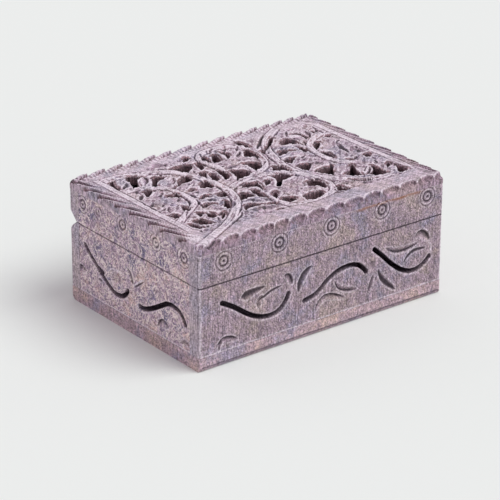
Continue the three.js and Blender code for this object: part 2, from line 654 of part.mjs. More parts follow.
lid.add( pieceOf( 'lid_front_rail', frontRail, faceStone, 0, - longPlace - hingeY, railZ ) );
lid.add( pieceOf( 'lid_back_rail', backRail, faceStone, 0, longPlace - hingeY, railZ ) );
lid.add( pieceOf( 'lid_left_rail', shortSlab( railHeight ), endStone, - shortPlace, - hingeY, railZ ) );
lid.add( pieceOf( 'lid_right_rail', shortSlab( railHeight ), endStone, shortPlace, - hingeY, railZ ) );
lid.add( pieceOf( 'lid_panel', lidPanel(), paleStone, 0, - hingeY, panelZ ) );
lid.add( pieceOf( 'hinge_staple_left', staple(), steel, - hingeSpacing / 2, 0, 0 ) );
lid.add( pieceOf( 'hinge_staple_right', staple(), steel, hingeSpacing / 2, 0, 0 ) );

const box = new THREE.Group();
box.add( base, lid );

export default box;
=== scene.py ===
"""Visual model of a hinged keepsake box, built of carved soapstone slabs.

The box is made of flat slabs glued at their edges, so each slab is a mesh of its own that stands
for its CAD node. A slab keeps the CAD outline, pierced openings included, which is read from the
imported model. Its outer face is a relief: a height over a flat grid, cut by gouges, drilled rings
and ridged stems. Lengths are in millimetres until a mesh is made, and then in metres.
"""
import logging
import math
from dataclasses import dataclass
from enum import Enum
from typing import Callable

import bpy
import numpy as np
from mathutils import Matrix, Vector, geometry


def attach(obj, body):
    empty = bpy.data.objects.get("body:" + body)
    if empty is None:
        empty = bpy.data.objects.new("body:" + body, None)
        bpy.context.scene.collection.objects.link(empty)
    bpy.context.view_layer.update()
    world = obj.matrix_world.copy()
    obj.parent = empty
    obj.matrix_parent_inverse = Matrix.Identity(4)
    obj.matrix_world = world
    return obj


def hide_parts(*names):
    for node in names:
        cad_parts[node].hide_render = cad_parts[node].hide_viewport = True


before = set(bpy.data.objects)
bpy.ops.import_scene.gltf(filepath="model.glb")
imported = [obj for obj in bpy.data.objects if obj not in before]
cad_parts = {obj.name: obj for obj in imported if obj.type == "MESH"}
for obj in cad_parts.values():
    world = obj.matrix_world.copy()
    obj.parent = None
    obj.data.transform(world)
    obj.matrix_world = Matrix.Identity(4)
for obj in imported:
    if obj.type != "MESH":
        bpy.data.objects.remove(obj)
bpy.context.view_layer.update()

log = logging.getLogger("soapstone_box")

MILLIMETRE = 0.001
MM_PER_M = 1000.0

# A distance past every other, one below every other, and how many pairs of a point and an edge
# are measured in one go
FAR = 1e3
TINY = 1e-6
PAIRS_AT_ONCE = 3_000_000

# Waves of a hand-sawn swell: how far and how fast the broad ones bend, how fast they cross, and
# the finer one's rates and share
BEND_REACH = 1.7
BEND_RATE = 0.6
CROSS_RATE = 0.8
FINE_RATES = (2.3, 1.9)
FINE_SHARE = 0.5

# How close two points of an outline may lie before they are taken for one
SAME_PLACE_MM = 1e-7

# Decimals of a millimetre to which CAD points are merged, for an outline and for a wire, and how
# far from a slab's inner face a point still counts as lying on it
OUTLINE_DIGITS = 3
WIRE_DIGITS = 4
LEVEL_MM = 0.02

# Size of the lid's carved face, for the tables that give places as shares of its half sides
LID_HALF_LENGTH = 76.0
LID_HALF_DEPTH = 54.0


# Colour and nodes

def linear(code: str) -> tuple[float, float, float, float]:
    """Turns an sRGB hex colour to a linear one.

    Args:
        code: six hex digits, with or without a leading #.

    Returns:
        Red, green, blue and an alpha of 1, linear.
    """
    digits = code.lstrip("#")
    shares = [int(digits[k:k + 2], 16) / 255 for k in (0, 2, 4)]
    return (*(s / 12.92 if s <= 0.04045 else ((s + 0.055) / 1.055) ** 2.4 for s in shares), 1.0)


def empty_tree(owner: bpy.types.Material | bpy.types.World) -> bpy.types.NodeTree:
    """Gives a material or a world a node tree with nothing in it."""
    owner.use_nodes = True
    owner.node_tree.nodes.clear()
    return owner.node_tree


def add_node(tree: bpy.types.NodeTree, kind: str, inputs: dict | None = None,
             stops: list | None = None, **settings: object) -> bpy.types.Node:
    """Adds one node with its settings, its ramp's stops and its links.

    Args:
        tree: the node tree to add to.
        kind: the node's type name.
        inputs: for each input, by name or number, a socket to link or a value to set.
        stops: for a colour ramp, pairs of place and linear colour.
        **settings: attributes of the node itself.

    Returns:
        The new node.
    """
    node = tree.nodes.new(kind)
    for name, value in settings.items():
        setattr(node, name, value)
    for number, (place, colour) in enumerate(stops or []):
        held = node.color_ramp.elements
        element = held[number] if number < len(held) else held.new(place)
        element.position, element.color = place, colour
    for key, value in (inputs or {}).items():
        if isinstance(value, bpy.types.NodeSocket):
            tree.links.new(value, node.inputs[key])
        else:
            node.inputs[key].default_value = value
    return node


# Finishes

@dataclass(frozen=True)
class Streak:
    """Fine parallel lines left by a tool: how they are turned, how wide and long they are along
    the axes, and how strongly they lighten and darken the stone."""

    turn_degrees: tuple[float, float, float]
    size_mm: tuple[float, float, float]
    share: float


@dataclass(frozen=True)
class Soapstone:
    """Soapstone, sawn into slabs, carved with gouges and rubbed by hand, left without polish.

    To the eye it is a soft matte stone: mauve ground mottled with slate and rose, cream veins of
    talc, fine saw streaks, ridges rubbed pale and given painted highlights, and cuts and openings
    darkened with dirt and with painted shade.

    Attributes read from the mesh: rubbing and painted light is 1 where ridges are rubbed pale and
    where highlights are painted, and -1 where cuts hold dirt and where shade is painted; hollow is
    1 where brown painted shade lies, in deep cuts, on the walls of openings and inside the box,
    with dirt in the cuts; stain is 1 where iron has stained the stone.
    """

    name: str
    ground: str = "9B8695"
    slate: str = "8D8297"
    rose: str = "A38F92"
    cream: str = "DED0C4"
    # The pale colour is rubbed stone and painted highlight, the dark one after it is dust and
    # painted shade, and bore is the painted shade of the openings' walls and the box's inside
    pale: str = "EEDFEC"
    dust_and_shade: str = "2F232E"
    bore: str = "80717F"
    iron: str = "8E5836"
    patch_mm: float = 15.0
    mottle_mm: float = 2.4
    mottle_share: float = 0.26
    grain_mm: float = 0.8
    grain_share: float = 0.3
    flake_mm: float = 0.6
    flake_share: float = 0.46
    vein_mm: float = 3.2
    vein_share: float = 0.22
    streaks: tuple[Streak, ...] = (
        Streak((0, 4, 0), (0.6, 0.6, 9.0), 0.38), Streak((0, -38, 0), (0.6, 0.6, 6.0), 0.2))
    bump_mm: float = 0.3
    ground_stops: tuple[float, ...] = (0.38, 0.48, 0.53, 0.62)
    vein_level: float = 0.53
    vein_edges: tuple[float, float] = (0.052, 0.014)
    dust_and_shade_share: float = 0.9

    def material(self) -> bpy.types.Material:
        """Builds the stone's node material.

        Returns:
            The material, named for the stone and its place.
        """
        stone = bpy.data.materials.new(self.name)
        tree = empty_tree(stone)
        place = add_node(tree, "ShaderNodeTexCoord").outputs["Object"]
        rub, hollow, stain = (
            add_node(tree, "ShaderNodeAttribute", attribute_name=name).outputs["Fac"]
            for name in ("rub", "hollow", "stain"))

        # Mottling of slate and rose in the mauve ground: wide soft patches and small ones
        patch = add_node(tree, "ShaderNodeTexNoise", {
            "Vector": place, "Scale": MM_PER_M / self.patch_mm, "Detail": 3.0,
            "Roughness": 0.5, "Distortion": 0.4})
        mottle = add_node(tree, "ShaderNodeTexNoise", {
            "Vector": place, "Scale": MM_PER_M / self.mottle_mm, "Detail": 4.0,
            "Roughness": 0.6, "Distortion": 0.8})
        mixed = add_node(tree, "ShaderNodeMix", {
            0: self.mottle_share, 2: patch.outputs["Fac"], 3: mottle.outputs["Fac"]})
        colours = map(linear, (self.slate, self.ground, self.ground, self.rose))
        ground = add_node(tree, "ShaderNodeValToRGB", {"Fac": mixed.outputs[0]},
                          stops=list(zip(self.ground_stops, colours)))

        # Grain of about a millimetre, light and dark. Real talc grain is finer, but would not
        # show from where the box is seen
        grain = add_node(tree, "ShaderNodeTexNoise", {
            "Vector": place, "Scale": MM_PER_M / self.grain_mm, "Detail": 3.0, "Roughness": 0.7})
        tone = add_node(tree, "ShaderNodeMapRange", {
            "Value": grain.outputs["Fac"], "From Min": 0.32, "From Max": 0.68,
            "To Min": 1.0 - self.grain_share, "To Max": 1.0 + self.grain_share}).outputs["Result"]
        height = grain.outputs["Fac"]

        # Single flakes of talc, each a little lighter or darker than the next
        flakes = add_node(tree, "ShaderNodeTexVoronoi", {
            "Vector": place, "Scale": MM_PER_M / self.flake_mm})
        flake_tone = add_node(tree, "ShaderNodeMapRange", {
            "Value": flakes.outputs["Color"], "From Min": 0.2, "From Max": 0.8,
            "To Min": 1.0 - self.flake_share, "To Max": 1.0 + self.flake_share})
        tone = add_node(tree, "ShaderNodeMath", {
            0: tone, 1: flake_tone.outputs["Result"]}, operation="MULTIPLY").outputs["Value"]

        # Lines left by the saw and by rubbing
        for streak in self.streaks:
            turned = add_node(tree, "ShaderNodeMapping", {
                "Vector": place, "Rotation": tuple(map(math.radians, streak.turn_degrees)),
                "Scale": tuple(width * MILLIMETRE for width in streak.size_mm)},
                vector_type="TEXTURE")
            line = add_node(tree, "ShaderNodeTexNoise", {
                "Vector": turned.outputs["Vector"], "Scale": 1.0, "Detail": 2.0})
            line_tone = add_node(tree, "ShaderNodeMapRange", {
                "Value": line.outputs["Fac"], "From Min": 0.36, "From Max": 0.64,
                "To Min": 1.0 - streak.share, "To Max": 1.0 + streak.share})
            tone = add_node(tree, "ShaderNodeMath", {
                0: tone, 1: line_tone.outputs["Result"]}, operation="MULTIPLY").outputs["Value"]
            height = add_node(tree, "ShaderNodeMath", {
                0: height, 1: line.outputs["Fac"]}, operation="ADD").outputs["Value"]
        toned = add_node(tree, "ShaderNodeVectorMath", {
            0: ground.outputs["Color"], "Scale": tone}, operation="SCALE")

        # Thin crooked veins of pale talc, where a noise crosses one level
        vein = add_node(tree, "ShaderNodeTexNoise", {
            "Vector": place, "Scale": MM_PER_M / self.vein_mm, "Detail": 2.0,
            "Roughness": 0.5, "Distortion": 1.8})
        past = add_node(tree, "ShaderNodeMath", {
            0: vein.outputs["Fac"], 1: self.vein_level}, operation="SUBTRACT")
        width = add_node(tree, "ShaderNodeMath", {0: past.outputs["Value"]}, operation="ABSOLUTE")
        faint, full = self.vein_edges
        vein_mask = add_node(tree, "ShaderNodeMapRange", {
            "Value": width.outputs["Value"], "From Min": faint, "From Max": full,
            "To Min": 0.0, "To Max": self.vein_share})
        veined = add_node(tree, "ShaderNodeMix", {
            0: vein_mask.outputs["Result"], 6: toned.outputs["Vector"],
            7: linear(self.cream)}, data_type="RGBA")

        # Iron stain along a joint
        stained = add_node(tree, "ShaderNodeMix", {
            0: stain, 6: veined.outputs[2], 7: linear(self.iron)}, data_type="RGBA")

        # Painted shade on the walls of the openings, inside the box and in deep cuts: browner and
        # darker
        bore_shade_colour = add_node(tree, "ShaderNodeVectorMath", {
            0: linear(self.bore)[:3], "Scale": tone}, operation="SCALE")
        bore_shade_mixed = add_node(tree, "ShaderNodeMix", {
            0: hollow, 6: stained.outputs[2], 7: bore_shade_colour.outputs["Vector"]}, data_type="RGBA")

        # Ridges rubbed pale and painted highlights, broken up by the grain, and dust and painted
        # shade in cuts
        rub_and_light_broken = add_node(tree, "ShaderNodeMath", {0: rub, 1: tone}, operation="MULTIPLY",
                              use_clamp=True)
        rubbed = add_node(tree, "ShaderNodeMix", {
            0: rub_and_light_broken.outputs["Value"], 6: bore_shade_mixed.outputs[2],
            7: linear(self.pale)}, data_type="RGBA")
        dust_and_shade = add_node(tree, "ShaderNodeMath", {0: rub, 1: -self.dust_and_shade_share},
                        operation="MULTIPLY", use_clamp=True)
        dusty_and_shaded = add_node(tree, "ShaderNodeMix", {
            0: dust_and_shade.outputs["Value"], 6: rubbed.outputs[2],
            7: linear(self.dust_and_shade)}, data_type="RGBA")

        roughness = add_node(tree, "ShaderNodeMapRange", {
            "Value": grain.outputs["Fac"], "From Min": 0.3, "From Max": 0.7,
            "To Min": 0.68, "To Max": 0.92})
        bump = add_node(tree, "ShaderNodeBump", {
            "Height": height, "Strength": 1.0, "Distance": self.bump_mm * MILLIMETRE})
        shader = add_node(tree, "ShaderNodeBsdfPrincipled", {
            "Base Color": dusty_and_shaded.outputs[2], "Roughness": roughness.outputs["Result"],
            "IOR": 1.5, "Normal": bump.outputs["Normal"]})
        add_node(tree, "ShaderNodeOutputMaterial", {"Surface": shader.outputs["BSDF"]})
        return stone


@dataclass(frozen=True)
class DrawnSteelWire:
    """Mild steel wire, drawn and bent cold: a dull grey metal with fine lines along it and rust
    starting in its bends."""

    name: str = "drawn steel wire"
    steel: str = "8E8A88"
    rust: str = "6B4A38"
    grain_mm: float = 0.6

    def material(self) -> bpy.types.Material:
        """Builds the wire's node material.

        Returns:
            The material, a rough metal with rust patches.
        """
        wire = bpy.data.materials.new(self.name)
        tree = empty_tree(wire)
        place = add_node(tree, "ShaderNodeTexCoord").outputs["Object"]
        patch = add_node(tree, "ShaderNodeTexNoise", {
            "Vector": place, "Scale": MM_PER_M / self.grain_mm, "Detail": 5.0})
        colour = add_node(tree, "ShaderNodeValToRGB", {"Fac": patch.outputs["Fac"]}, stops=[
            (0.45, linear(self.steel)), (0.62, linear(self.rust))])
        metal = add_node(tree, "ShaderNodeMapRange", {
            "Value": patch.outputs["Fac"], "From Min": 0.5, "From Max": 0.62,
            "To Min": 1.0, "To Max": 0.3})
        roughness = add_node(tree, "ShaderNodeMapRange", {
            "Value": patch.outputs["Fac"], "To Min": 0.32, "To Max": 0.7})
        shader = add_node(tree, "ShaderNodeBsdfPrincipled", {
            "Base Color": colour.outputs["Color"], "Metallic": metal.outputs["Result"],
            "Roughness": roughness.outputs["Result"]})
        add_node(tree, "ShaderNodeOutputMaterial", {"Surface": shader.outputs["BSDF"]})
        return wire


# Curves on a face

def curve_through(points: np.ndarray, step: float) -> np.ndarray:
    """Smooth open curve through points: each stretch between two points is a cubic whose ends run
    parallel to the line between the points' neighbours (Catmull-Rom).

    Args:
        points: the curve's own points, one row each.
        step: greatest distance between points of the result, in the same unit.

    Returns:
        Points along the curve, ends included.
    """
    ends = np.vstack([2 * points[:1] - points[1:2], points, 2 * points[-1:] - points[-2:-1]])
    before, start, end, after = ends[:-3], ends[1:-2], ends[2:-1], ends[3:]
    count = max(2, int(np.ceil(np.linalg.norm(end - start, axis=1).max() / step)))
    t = (np.arange(count) / count)[None, :, None]
    lead, tail = (end - before)[:, None] / 2, (after - start)[:, None] / 2
    start, end = start[:, None], end[:, None]
    runs = (start * (2 * t**3 - 3 * t**2 + 1) + lead * (t**3 - 2 * t**2 + t)
            + end * (3 * t**2 - 2 * t**3) + tail * (t**3 - t**2))
    return np.vstack([runs.reshape(-1, 2), points[-1:]])


def eased_loop(loop: np.ndarray, step: float, rounds: int, corner_degrees: float) -> np.ndarray:
    """Closed outline, spaced evenly and eased: each point goes half way to the middle of its two
    neighbours, a few times over. Corners sharper than corner_degrees stay where they are.

    Args:
        loop: the outline's points, in order.
        step: distance between points of the result.
        rounds: how often the points are eased.
        corner_degrees: turn above which a point is a corner.

    Returns:
        The eased outline's points, in order.
    """
    ahead, behind = np.roll(loop, -1, 0) - loop, loop - np.roll(loop, 1, 0)
    turn = np.abs(np.arctan2(ahead[:, 1] * behind[:, 0] - ahead[:, 0] * behind[:, 1],
                             (ahead * behind).sum(1)))
    corners = np.flatnonzero(turn > math.radians(corner_degrees))
    starts = corners if len(corners) else np.array([0])
    points, held = [], []
    for begin, stop in zip(starts, np.append(starts[1:], starts[0] + len(loop))):
        run = loop[np.arange(begin, stop + 1) % len(loop)]
        reach = np.append(0, np.cumsum(np.linalg.norm(np.diff(run, axis=0), axis=1)))
        places = np.linspace(0, reach[-1], max(2, round(reach[-1] / step) + 1))[:-1]
        points.append(np.column_stack([np.interp(places, reach, run[:, k]) for k in (0, 1)]))
        held.append((np.arange(len(places)) == 0) & (len(corners) > 0))
    eased, held = np.vstack(points), np.concatenate(held)[:, None]
    for _ in range(rounds):
        middle = (np.roll(eased, 1, 0) + np.roll(eased, -1, 0)) / 2
        eased = np.where(held, eased, (eased + middle) / 2)
    return eased


def nearest_on(line: np.ndarray, points: np.ndarray,
               closed: bool = True) -> tuple[np.ndarray, ...]:
    """Nearest place on a line of straight pieces, for many points.

    Args:
        line: the line's points, in order.
        points: the points to measure from.
        closed: whether the last point joins the first.

    Returns:
        Distance, nearest place, share of the line's length at that place, and side: 1 where the
        point lies to the left of the line and -1 to its right.
    """
    start = line if closed else line[:-1]
    along = (np.roll(line, -1, 0) if closed else line[1:]) - start
    length = np.linalg.norm(along, axis=1)
    reach = np.append(0, np.cumsum(length))
    square = np.maximum(length**2, TINY**2)
    results = []
    for part in np.array_split(points, len(points) * len(start) // PAIRS_AT_ONCE + 1):
        off = part[:, None] - start[None]
        share = np.clip((off * along).sum(2) / square, 0, 1)
        gap = off - share[..., None] * along
        pick = (gap**2).sum(2).argmin(1)
        row = np.arange(len(part))
        near, step = gap[row, pick], along[pick]
        results.append(np.column_stack([
            np.linalg.norm(near, axis=1), part - near,
            (reach[pick] + share[row, pick] * length[pick]) / reach[-1],
            np.sign(step[:, 0] * near[:, 1] - step[:, 1] * near[:, 0])]))
    found = np.vstack(results)
    return found[:, 0], found[:, 1:3], found[:, 3], found[:, 4]


def inside(loop: np.ndarray, points: np.ndarray) -> np.ndarray:
    """Tells which points lie in a closed outline: a ray from each crosses it an odd number of
    times.

    Args:
        loop: the outline's points, or all starts of its edges when stacked as (n, 2, 2).
        points: the points to test.

    Returns:
        One truth value for each point.
    """
    edges = loop if loop.ndim == 3 else np.stack([loop, np.roll(loop, -1, 0)], 1)
    (x0, y0), (x1, y1) = edges[:, 0].T, edges[:, 1].T
    rise = np.where(np.abs(y1 - y0) < TINY**2, TINY**2, y1 - y0)
    answers = []
    for part in np.array_split(points, len(points) * len(edges) // PAIRS_AT_ONCE + 1):
        x, y = part[:, :1], part[:, 1:]
        crossed = ((y0 > y) != (y1 > y)) & (x < (x1 - x0) * (y - y0) / rise + x0)
        answers.append(crossed.sum(1) % 2 == 1)
    return np.concatenate(answers)


def ramp(value: np.ndarray, low: float, high: float) -> np.ndarray:
    """Rises smoothly from 0 at low to 1 at high."""
    share = np.clip((value - low) / (high - low), 0, 1)
    return share * share * (3 - 2 * share)


@dataclass(frozen=True)
class Bell:
    """Bell curve: its middle, the width at which it has fallen to 1/e, and its height."""

    middle: float
    width: float
    height: float = 1.0

    def at(self, value: np.ndarray) -> np.ndarray:
        """The curve at each value."""
        return self.height * np.exp(-((value - self.middle) / self.width) ** 2)


# Cuts in a face

class Tool(Enum):
    """What leaves a mark on a face, and the mark's section across its run."""

    # Cuts are darkened with painted shade; a slant's deep side carries painted shadow
    PARTING = "a V, deepest in the middle"
    GOUGE = "a hollow round bottom"
    SLANT_LEFT = "deepest along its left side, and rising to its right"
    SLANT_RIGHT = "deepest along its right side, and rising to its left"
    # A ridge's pale shoulders are painted highlights and its foot painted shade
    RIDGE = "stone left standing, with rubbed shoulders"
    # A rim's pale line is rubbed stone with a painted highlight
    RIM = "a thin standing line, rubbed pale"
    # A smudge is a patch of painted shade alone
    SMUDGE = "no depth, only a soft dark patch"


class Ends(Enum):
    """How the width of a mark changes along its run."""

    LENS = "pointed at both ends"
    DROP = "round at its start and pointed at its end"
    SQUARE = "full width to both ends"


# Sections of the tools' marks. Places across a run are shares of the mark's half width, heights
# are shares of its depth, and painted shade and light, with rubbing, go from 0 to 1 and beyond,
# where they are cut off.
# The step along a run and the lip past a cut's edge are in mm
RUN_STEP = 0.7
POINT_SHARE = 0.004
DROP_RISE = (-0.12, 0.1)
FULL_DEPTH_WIDTH = 1.15
# Painted shade: across a V, in a gouge growing with its depth, on a slant's deep side, and in a
# smudge
VEE_SHADE = 1.2
GOUGE_SHADE_MOST = 1.3
GOUGE_SHADE_START = 0.15
GOUGE_SHADE_PER_MM = 0.68
SLANT_WALL = 6.0
SLANT_SHADE_START = 0.05
SLANT_SHADE_RISE = 0.8
SLANT_SHADE_PLACES = (-0.7, 0.9)
SMUDGE_SHADE = 0.6
# Painted highlight, with rubbing, on a rim
RIM_RUB_AND_HIGHLIGHT = 0.85
RIDGE_TOP_PLACES = (0.94, 1.12)
RIDGE_TOP_RUB = 0.5
# A stem's foot carries painted shade and its shoulders a painted highlight; its top is rubbed pale
RIDGE_FOOT = Bell(1.25, 0.22, 1.3)
RIDGE_LINE = Bell(0.28, 0.14, 0.5)
RIDGE_FOOT_SHADE = Bell(1.25, 0.22, 0.75)
RIDGE_SHOULDER_HIGHLIGHT = Bell(0.82, 0.16, 0.4)
# The lip just outside a cut: rubbed pale with a painted highlight
LIP_RUB_AND_HIGHLIGHT = Bell(0.4, 0.32, 0.35)


@dataclass(frozen=True)
class Mark:
    """One mark of a tool on a face: its tool, ends, width and depth in mm, and its points."""

    tool: Tool
    ends: Ends
    width: float
    depth: float
    points: tuple[tuple[float, float], ...]

    def section(self, s: np.ndarray, side: np.ndarray) -> tuple[np.ndarray, np.ndarray]:
        """The tool's section across the run.

        Args:
            s: distance from the run, as a share of the half width.
            side: 1 to the left of the run and -1 to its right.

        Returns:
            Share of the depth, positive into the stone, and painted light and shade with rubbing.
        """
        core = np.clip(1 - s, 0, 1)
        bowl = np.sqrt(np.clip(1 - s * s, 0, 1))
        # A V: painted shade across the groove
        if self.tool is Tool.PARTING:
            return core, -VEE_SHADE * bowl
        # A gouge: painted shade, darker the deeper it is
        if self.tool is Tool.GOUGE:
            dust_and_shade = min(GOUGE_SHADE_MOST, GOUGE_SHADE_PER_MM * self.depth + GOUGE_SHADE_START)
            return bowl, -dust_and_shade * (core + bowl) / 2
        # A rim: rubbed pale with a painted highlight
        if self.tool is Tool.RIM:
            return -core, RIM_RUB_AND_HIGHLIGHT * bowl
        # A smudge: painted shade alone
        if self.tool is Tool.SMUDGE:
            return np.zeros(len(s)), -SMUDGE_SHADE * bowl
        # A stem: painted highlight on its shoulders and painted shade at its foot; its top is
        # rubbed pale and its middle line darker
        if self.tool is Tool.RIDGE:
            top = 1 - ramp(s, *RIDGE_TOP_PLACES)
            line = RIDGE_LINE.at(s)
            rub = RIDGE_SHOULDER_HIGHLIGHT.at(s) + RIDGE_TOP_RUB * top - RIDGE_FOOT_SHADE.at(s) - line
            return RIDGE_FOOT.at(s) + line - top, rub
        # A slant: painted shadow on its deep side
        lean = s * side * (1 if self.tool is Tool.SLANT_LEFT else -1)
        within = np.clip((1 - np.abs(lean)) * SLANT_WALL, 0, 1)
        dust_and_shade = SLANT_SHADE_START + SLANT_SHADE_RISE * ramp(lean, *SLANT_SHADE_PLACES)
        return within * np.clip((lean + 1) / 2, 0, 1), -within * dust_and_shade

    def cut(self, places: np.ndarray,
            unit: tuple[float, float] = (1.0, 1.0)) -> tuple[np.ndarray, np.ndarray]:
        """Depth, and painted light and shade with rubbing, that the mark gives at each place.

        The half width follows the share t of the run, as the root of sin(pi t) for a lens and as
        the root of t's remainder for a drop. Stone left standing ends square. A cut has a pale
        lip just outside it, rubbed and with a painted highlight.

        Args:
            places: points of the face, in mm.
            unit: what the mark's own points are multiplied by.

        Returns:
            Depth in mm, positive into the stone, and painted light and shade with rubbing, from -1
            to 1.
        """
        depth, rub = np.zeros(len(places)), np.zeros(len(places))
        run = curve_through(np.array(self.points) * np.array(unit), RUN_STEP)
        low, high = run.min(0) - self.width, run.max(0) + self.width
        near = np.flatnonzero(((places > low) & (places < high)).all(1))
        if not len(near):
            return depth, rub
        gap, _, share, side = nearest_on(run, places[near], closed=False)
        width = {
            Ends.LENS: np.sqrt(np.sin(math.pi * np.clip(share, POINT_SHARE, 1 - POINT_SHARE))),
            Ends.DROP: np.sqrt(np.clip(1 - share, POINT_SHARE, 1)) * ramp(share, *DROP_RISE),
            Ends.SQUARE: np.ones(len(near)),
        }[self.ends]
        half = self.width / 2 * width
        cut, tone = self.section(gap / half, side)
        if self.tool is Tool.RIDGE:
            within = (share > 0) & (share < 1)
            cut, tone = cut * within, tone * within
        elif self.depth > 0 and self.tool is not Tool.RIM:
            # A pale lip outside the cut: rubbing and a painted highlight
            tone = tone + LIP_RUB_AND_HIGHLIGHT.at(gap - half)
        depth[near] = cut * self.depth * np.minimum(1, width * FULL_DEPTH_WIDTH)
        rub[near] = tone
        return depth, rub


@dataclass(frozen=True)
class DrilledRing:
    """Concentric circles scribed by a two-pronged drill: a deep inner groove, a shallow outer one
    and a centre pit.

    The place, the radii and the depth are in mm. Each groove's bell lies about its own radius, the
    lip and the brim about the outer one, and the pale disc about the middle. The grooves and the
    pit are darkened with painted shade, and the lip, the brim and the disc are painted highlights.
    """

    across: float
    up: float
    outer: float = 4.8
    inner: float = 2.5
    pit: float = 0.65
    depth: float = 0.7
    worn: float = 0.0
    outer_groove: Bell = Bell(0.0, 0.36, 0.6)
    inner_groove: Bell = Bell(0.0, 0.55)
    inner_shade: float = 0.9
    pit_share: float = 1.3
    disc: Bell = Bell(1.35, 0.4, 0.3)
    lip: Bell = Bell(-0.85, 0.35, 0.4)
    brim: Bell = Bell(0.7, 0.35, 0.35)

    def cut(self, places: np.ndarray) -> tuple[np.ndarray, np.ndarray]:
        """Depth and painted light of the ring at each place: bell-shaped grooves at its two radii
        and a bell-shaped pit at its middle, darkened with painted shade, with painted highlights on
        the pale stone between them.

        Args:
            places: points of the face, in mm.

        Returns:
            Depth in mm, and painted light and shade from -1 to 1.
        """
        away = places - np.array([self.across, self.up])
        radius = np.linalg.norm(away, axis=1)
        turn = np.arctan2(away[:, 1], away[:, 0])
        keep = 1 - self.worn * (1 + np.sin(turn * 2 + self.across)) / 2
        outer = self.outer_groove.at(radius - self.outer) * keep
        inner = self.inner_groove.at(radius - self.inner) * keep
        pit = Bell(0.0, self.pit, self.pit_share).at(radius)
        edges = self.lip.at(radius - self.outer) + self.brim.at(radius - self.outer)
        # Painted highlights on the disc, the lip and the brim; painted shade in the grooves and the
        # pit
        rub = self.disc.at(radius) + edges * keep - outer - self.inner_shade * inner - pit
        return self.depth * (outer + inner + pit), rub


# Slabs

class Facing(Enum):
    """The way a slab's carved face looks: its directions across and up, as seen from outside."""

    FRONT = ((1, 0, 0), (0, 0, 1))
    BACK = ((-1, 0, 0), (0, 0, 1))
    LEFT = ((0, -1, 0), (0, 0, 1))
    RIGHT = ((0, 1, 0), (0, 0, 1))
    TOP = ((1, 0, 0), (0, 1, 0))
    BOTTOM = ((1, 0, 0), (0, -1, 0))

    @property
    def axes(self) -> np.ndarray:
        """Rows are the directions across, up and out of the face."""
        across, up = np.array(self.value[0], float), np.array(self.value[1], float)
        return np.stack([across, up, np.cross(across, up)])


@dataclass
class FacePlaces:
    """Places on a face: points across and up in mm, how far each lies from the slab's own outline
    and from the nearest opening, and the direction to the nearest of the two."""

    points: np.ndarray
    rim: np.ndarray
    opening: np.ndarray
    towards: np.ndarray


@dataclass
class Relief:
    """What carving makes of a face: depth in mm, rubbing and painted light and shade from -1 to 1,
    and stain, and the brown painted shade of deep cuts, openings and the inside, with dirt in the
    cuts, from 0 to 1."""

    depth: np.ndarray
    rub: np.ndarray
    stain: np.ndarray
    # Brown painted shade, with dust in deep cuts
    hollow: np.ndarray

    @classmethod
    def flat(cls, places: FacePlaces) -> "Relief":
        """An uncut face."""
        return cls(*(np.zeros(len(places.points)) for _ in range(4)))

    def add(self, depth: np.ndarray, rub: np.ndarray) -> None:
        """Cuts deeper, or leaves stone standing where depth is negative."""
        self.depth += depth
        self.rub += rub

    def mark(self, places: FacePlaces, marks: dict,
             unit: tuple[float, float] = (1.0, 1.0)) -> None:
        """Cuts a table of marks into the face.

        Args:
            places: the face's places.
            marks: for each tool and ends, rows of width, depth and points.
            unit: what the marks' points are multiplied by.
        """
        for (tool, ends), rows in marks.items():
            for width, depth, *points in rows:
                self.add(*Mark(tool, ends, width, depth, tuple(points)).cut(places.points, unit))


def cad_mesh(node: str) -> tuple[np.ndarray, np.ndarray]:
    """Reads a CAD node's mesh.

    Args:
        node: the CAD node.

    Returns:
        Its points in mm and the point numbers of its triangles, three after three.
    """
    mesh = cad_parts[node].data
    points = np.empty(len(mesh.vertices) * 3, np.float32)
    mesh.vertices.foreach_get("co", points)
    mesh.calc_loop_triangles()
    triangles = np.empty(len(mesh.loop_triangles) * 3, np.int32)
    mesh.loop_triangles.foreach_get("vertices", triangles)
    return points.reshape(-1, 3).astype(float) * MM_PER_M, triangles


def merged(points: np.ndarray, triangles: np.ndarray, digits: int) -> tuple[np.ndarray, ...]:
    """Joins points that are the same once rounded.

    Args:
        points: points in mm.
        triangles: point numbers of the triangles, three after three.
        digits: decimals that are kept.

    Returns:
        The points that are left, and the triangles as rows of three numbers.
    """
    joined, index = np.unique(np.round(points, digits), axis=0, return_inverse=True)
    return joined, index.reshape(-1)[triangles].reshape(-1, 3)


def cad_outlines(node: str, facing: Facing) -> tuple[list[np.ndarray], float, float]:
    """Reads a slab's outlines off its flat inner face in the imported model: the edges that only
    one triangle of that face has, chained into loops.

    Args:
        node: the CAD node.
        facing: the way the slab's carved face looks.

    Returns:
        The loops in mm, the longest first, and how far out the outer and inner faces lie.
    """
    corners, triangles = cad_mesh(node)
    points, triangles = merged(corners @ facing.axes.T, triangles, OUTLINE_DIGITS)
    outer, inner = points[:, 2].max(), points[:, 2].min()
    level = np.abs(points[triangles][..., 2] - inner).max(1) < LEVEL_MM
    edges = np.vstack([triangles[level][:, [k, (k + 1) % 3]] for k in range(3)])
    known = set(map(tuple, edges.tolist()))
    follows = {a: b for a, b in known if (b, a) not in known}
    loops = []
    while follows:
        start, at = follows.popitem()
        chain = [start]
        while at != start:
            chain.append(at)
            at = follows.pop(at)
        loops.append(points[chain][:, :2])
    loops.sort(key=lambda loop: -np.ptp(loop, axis=0).sum())
    return loops, outer, inner


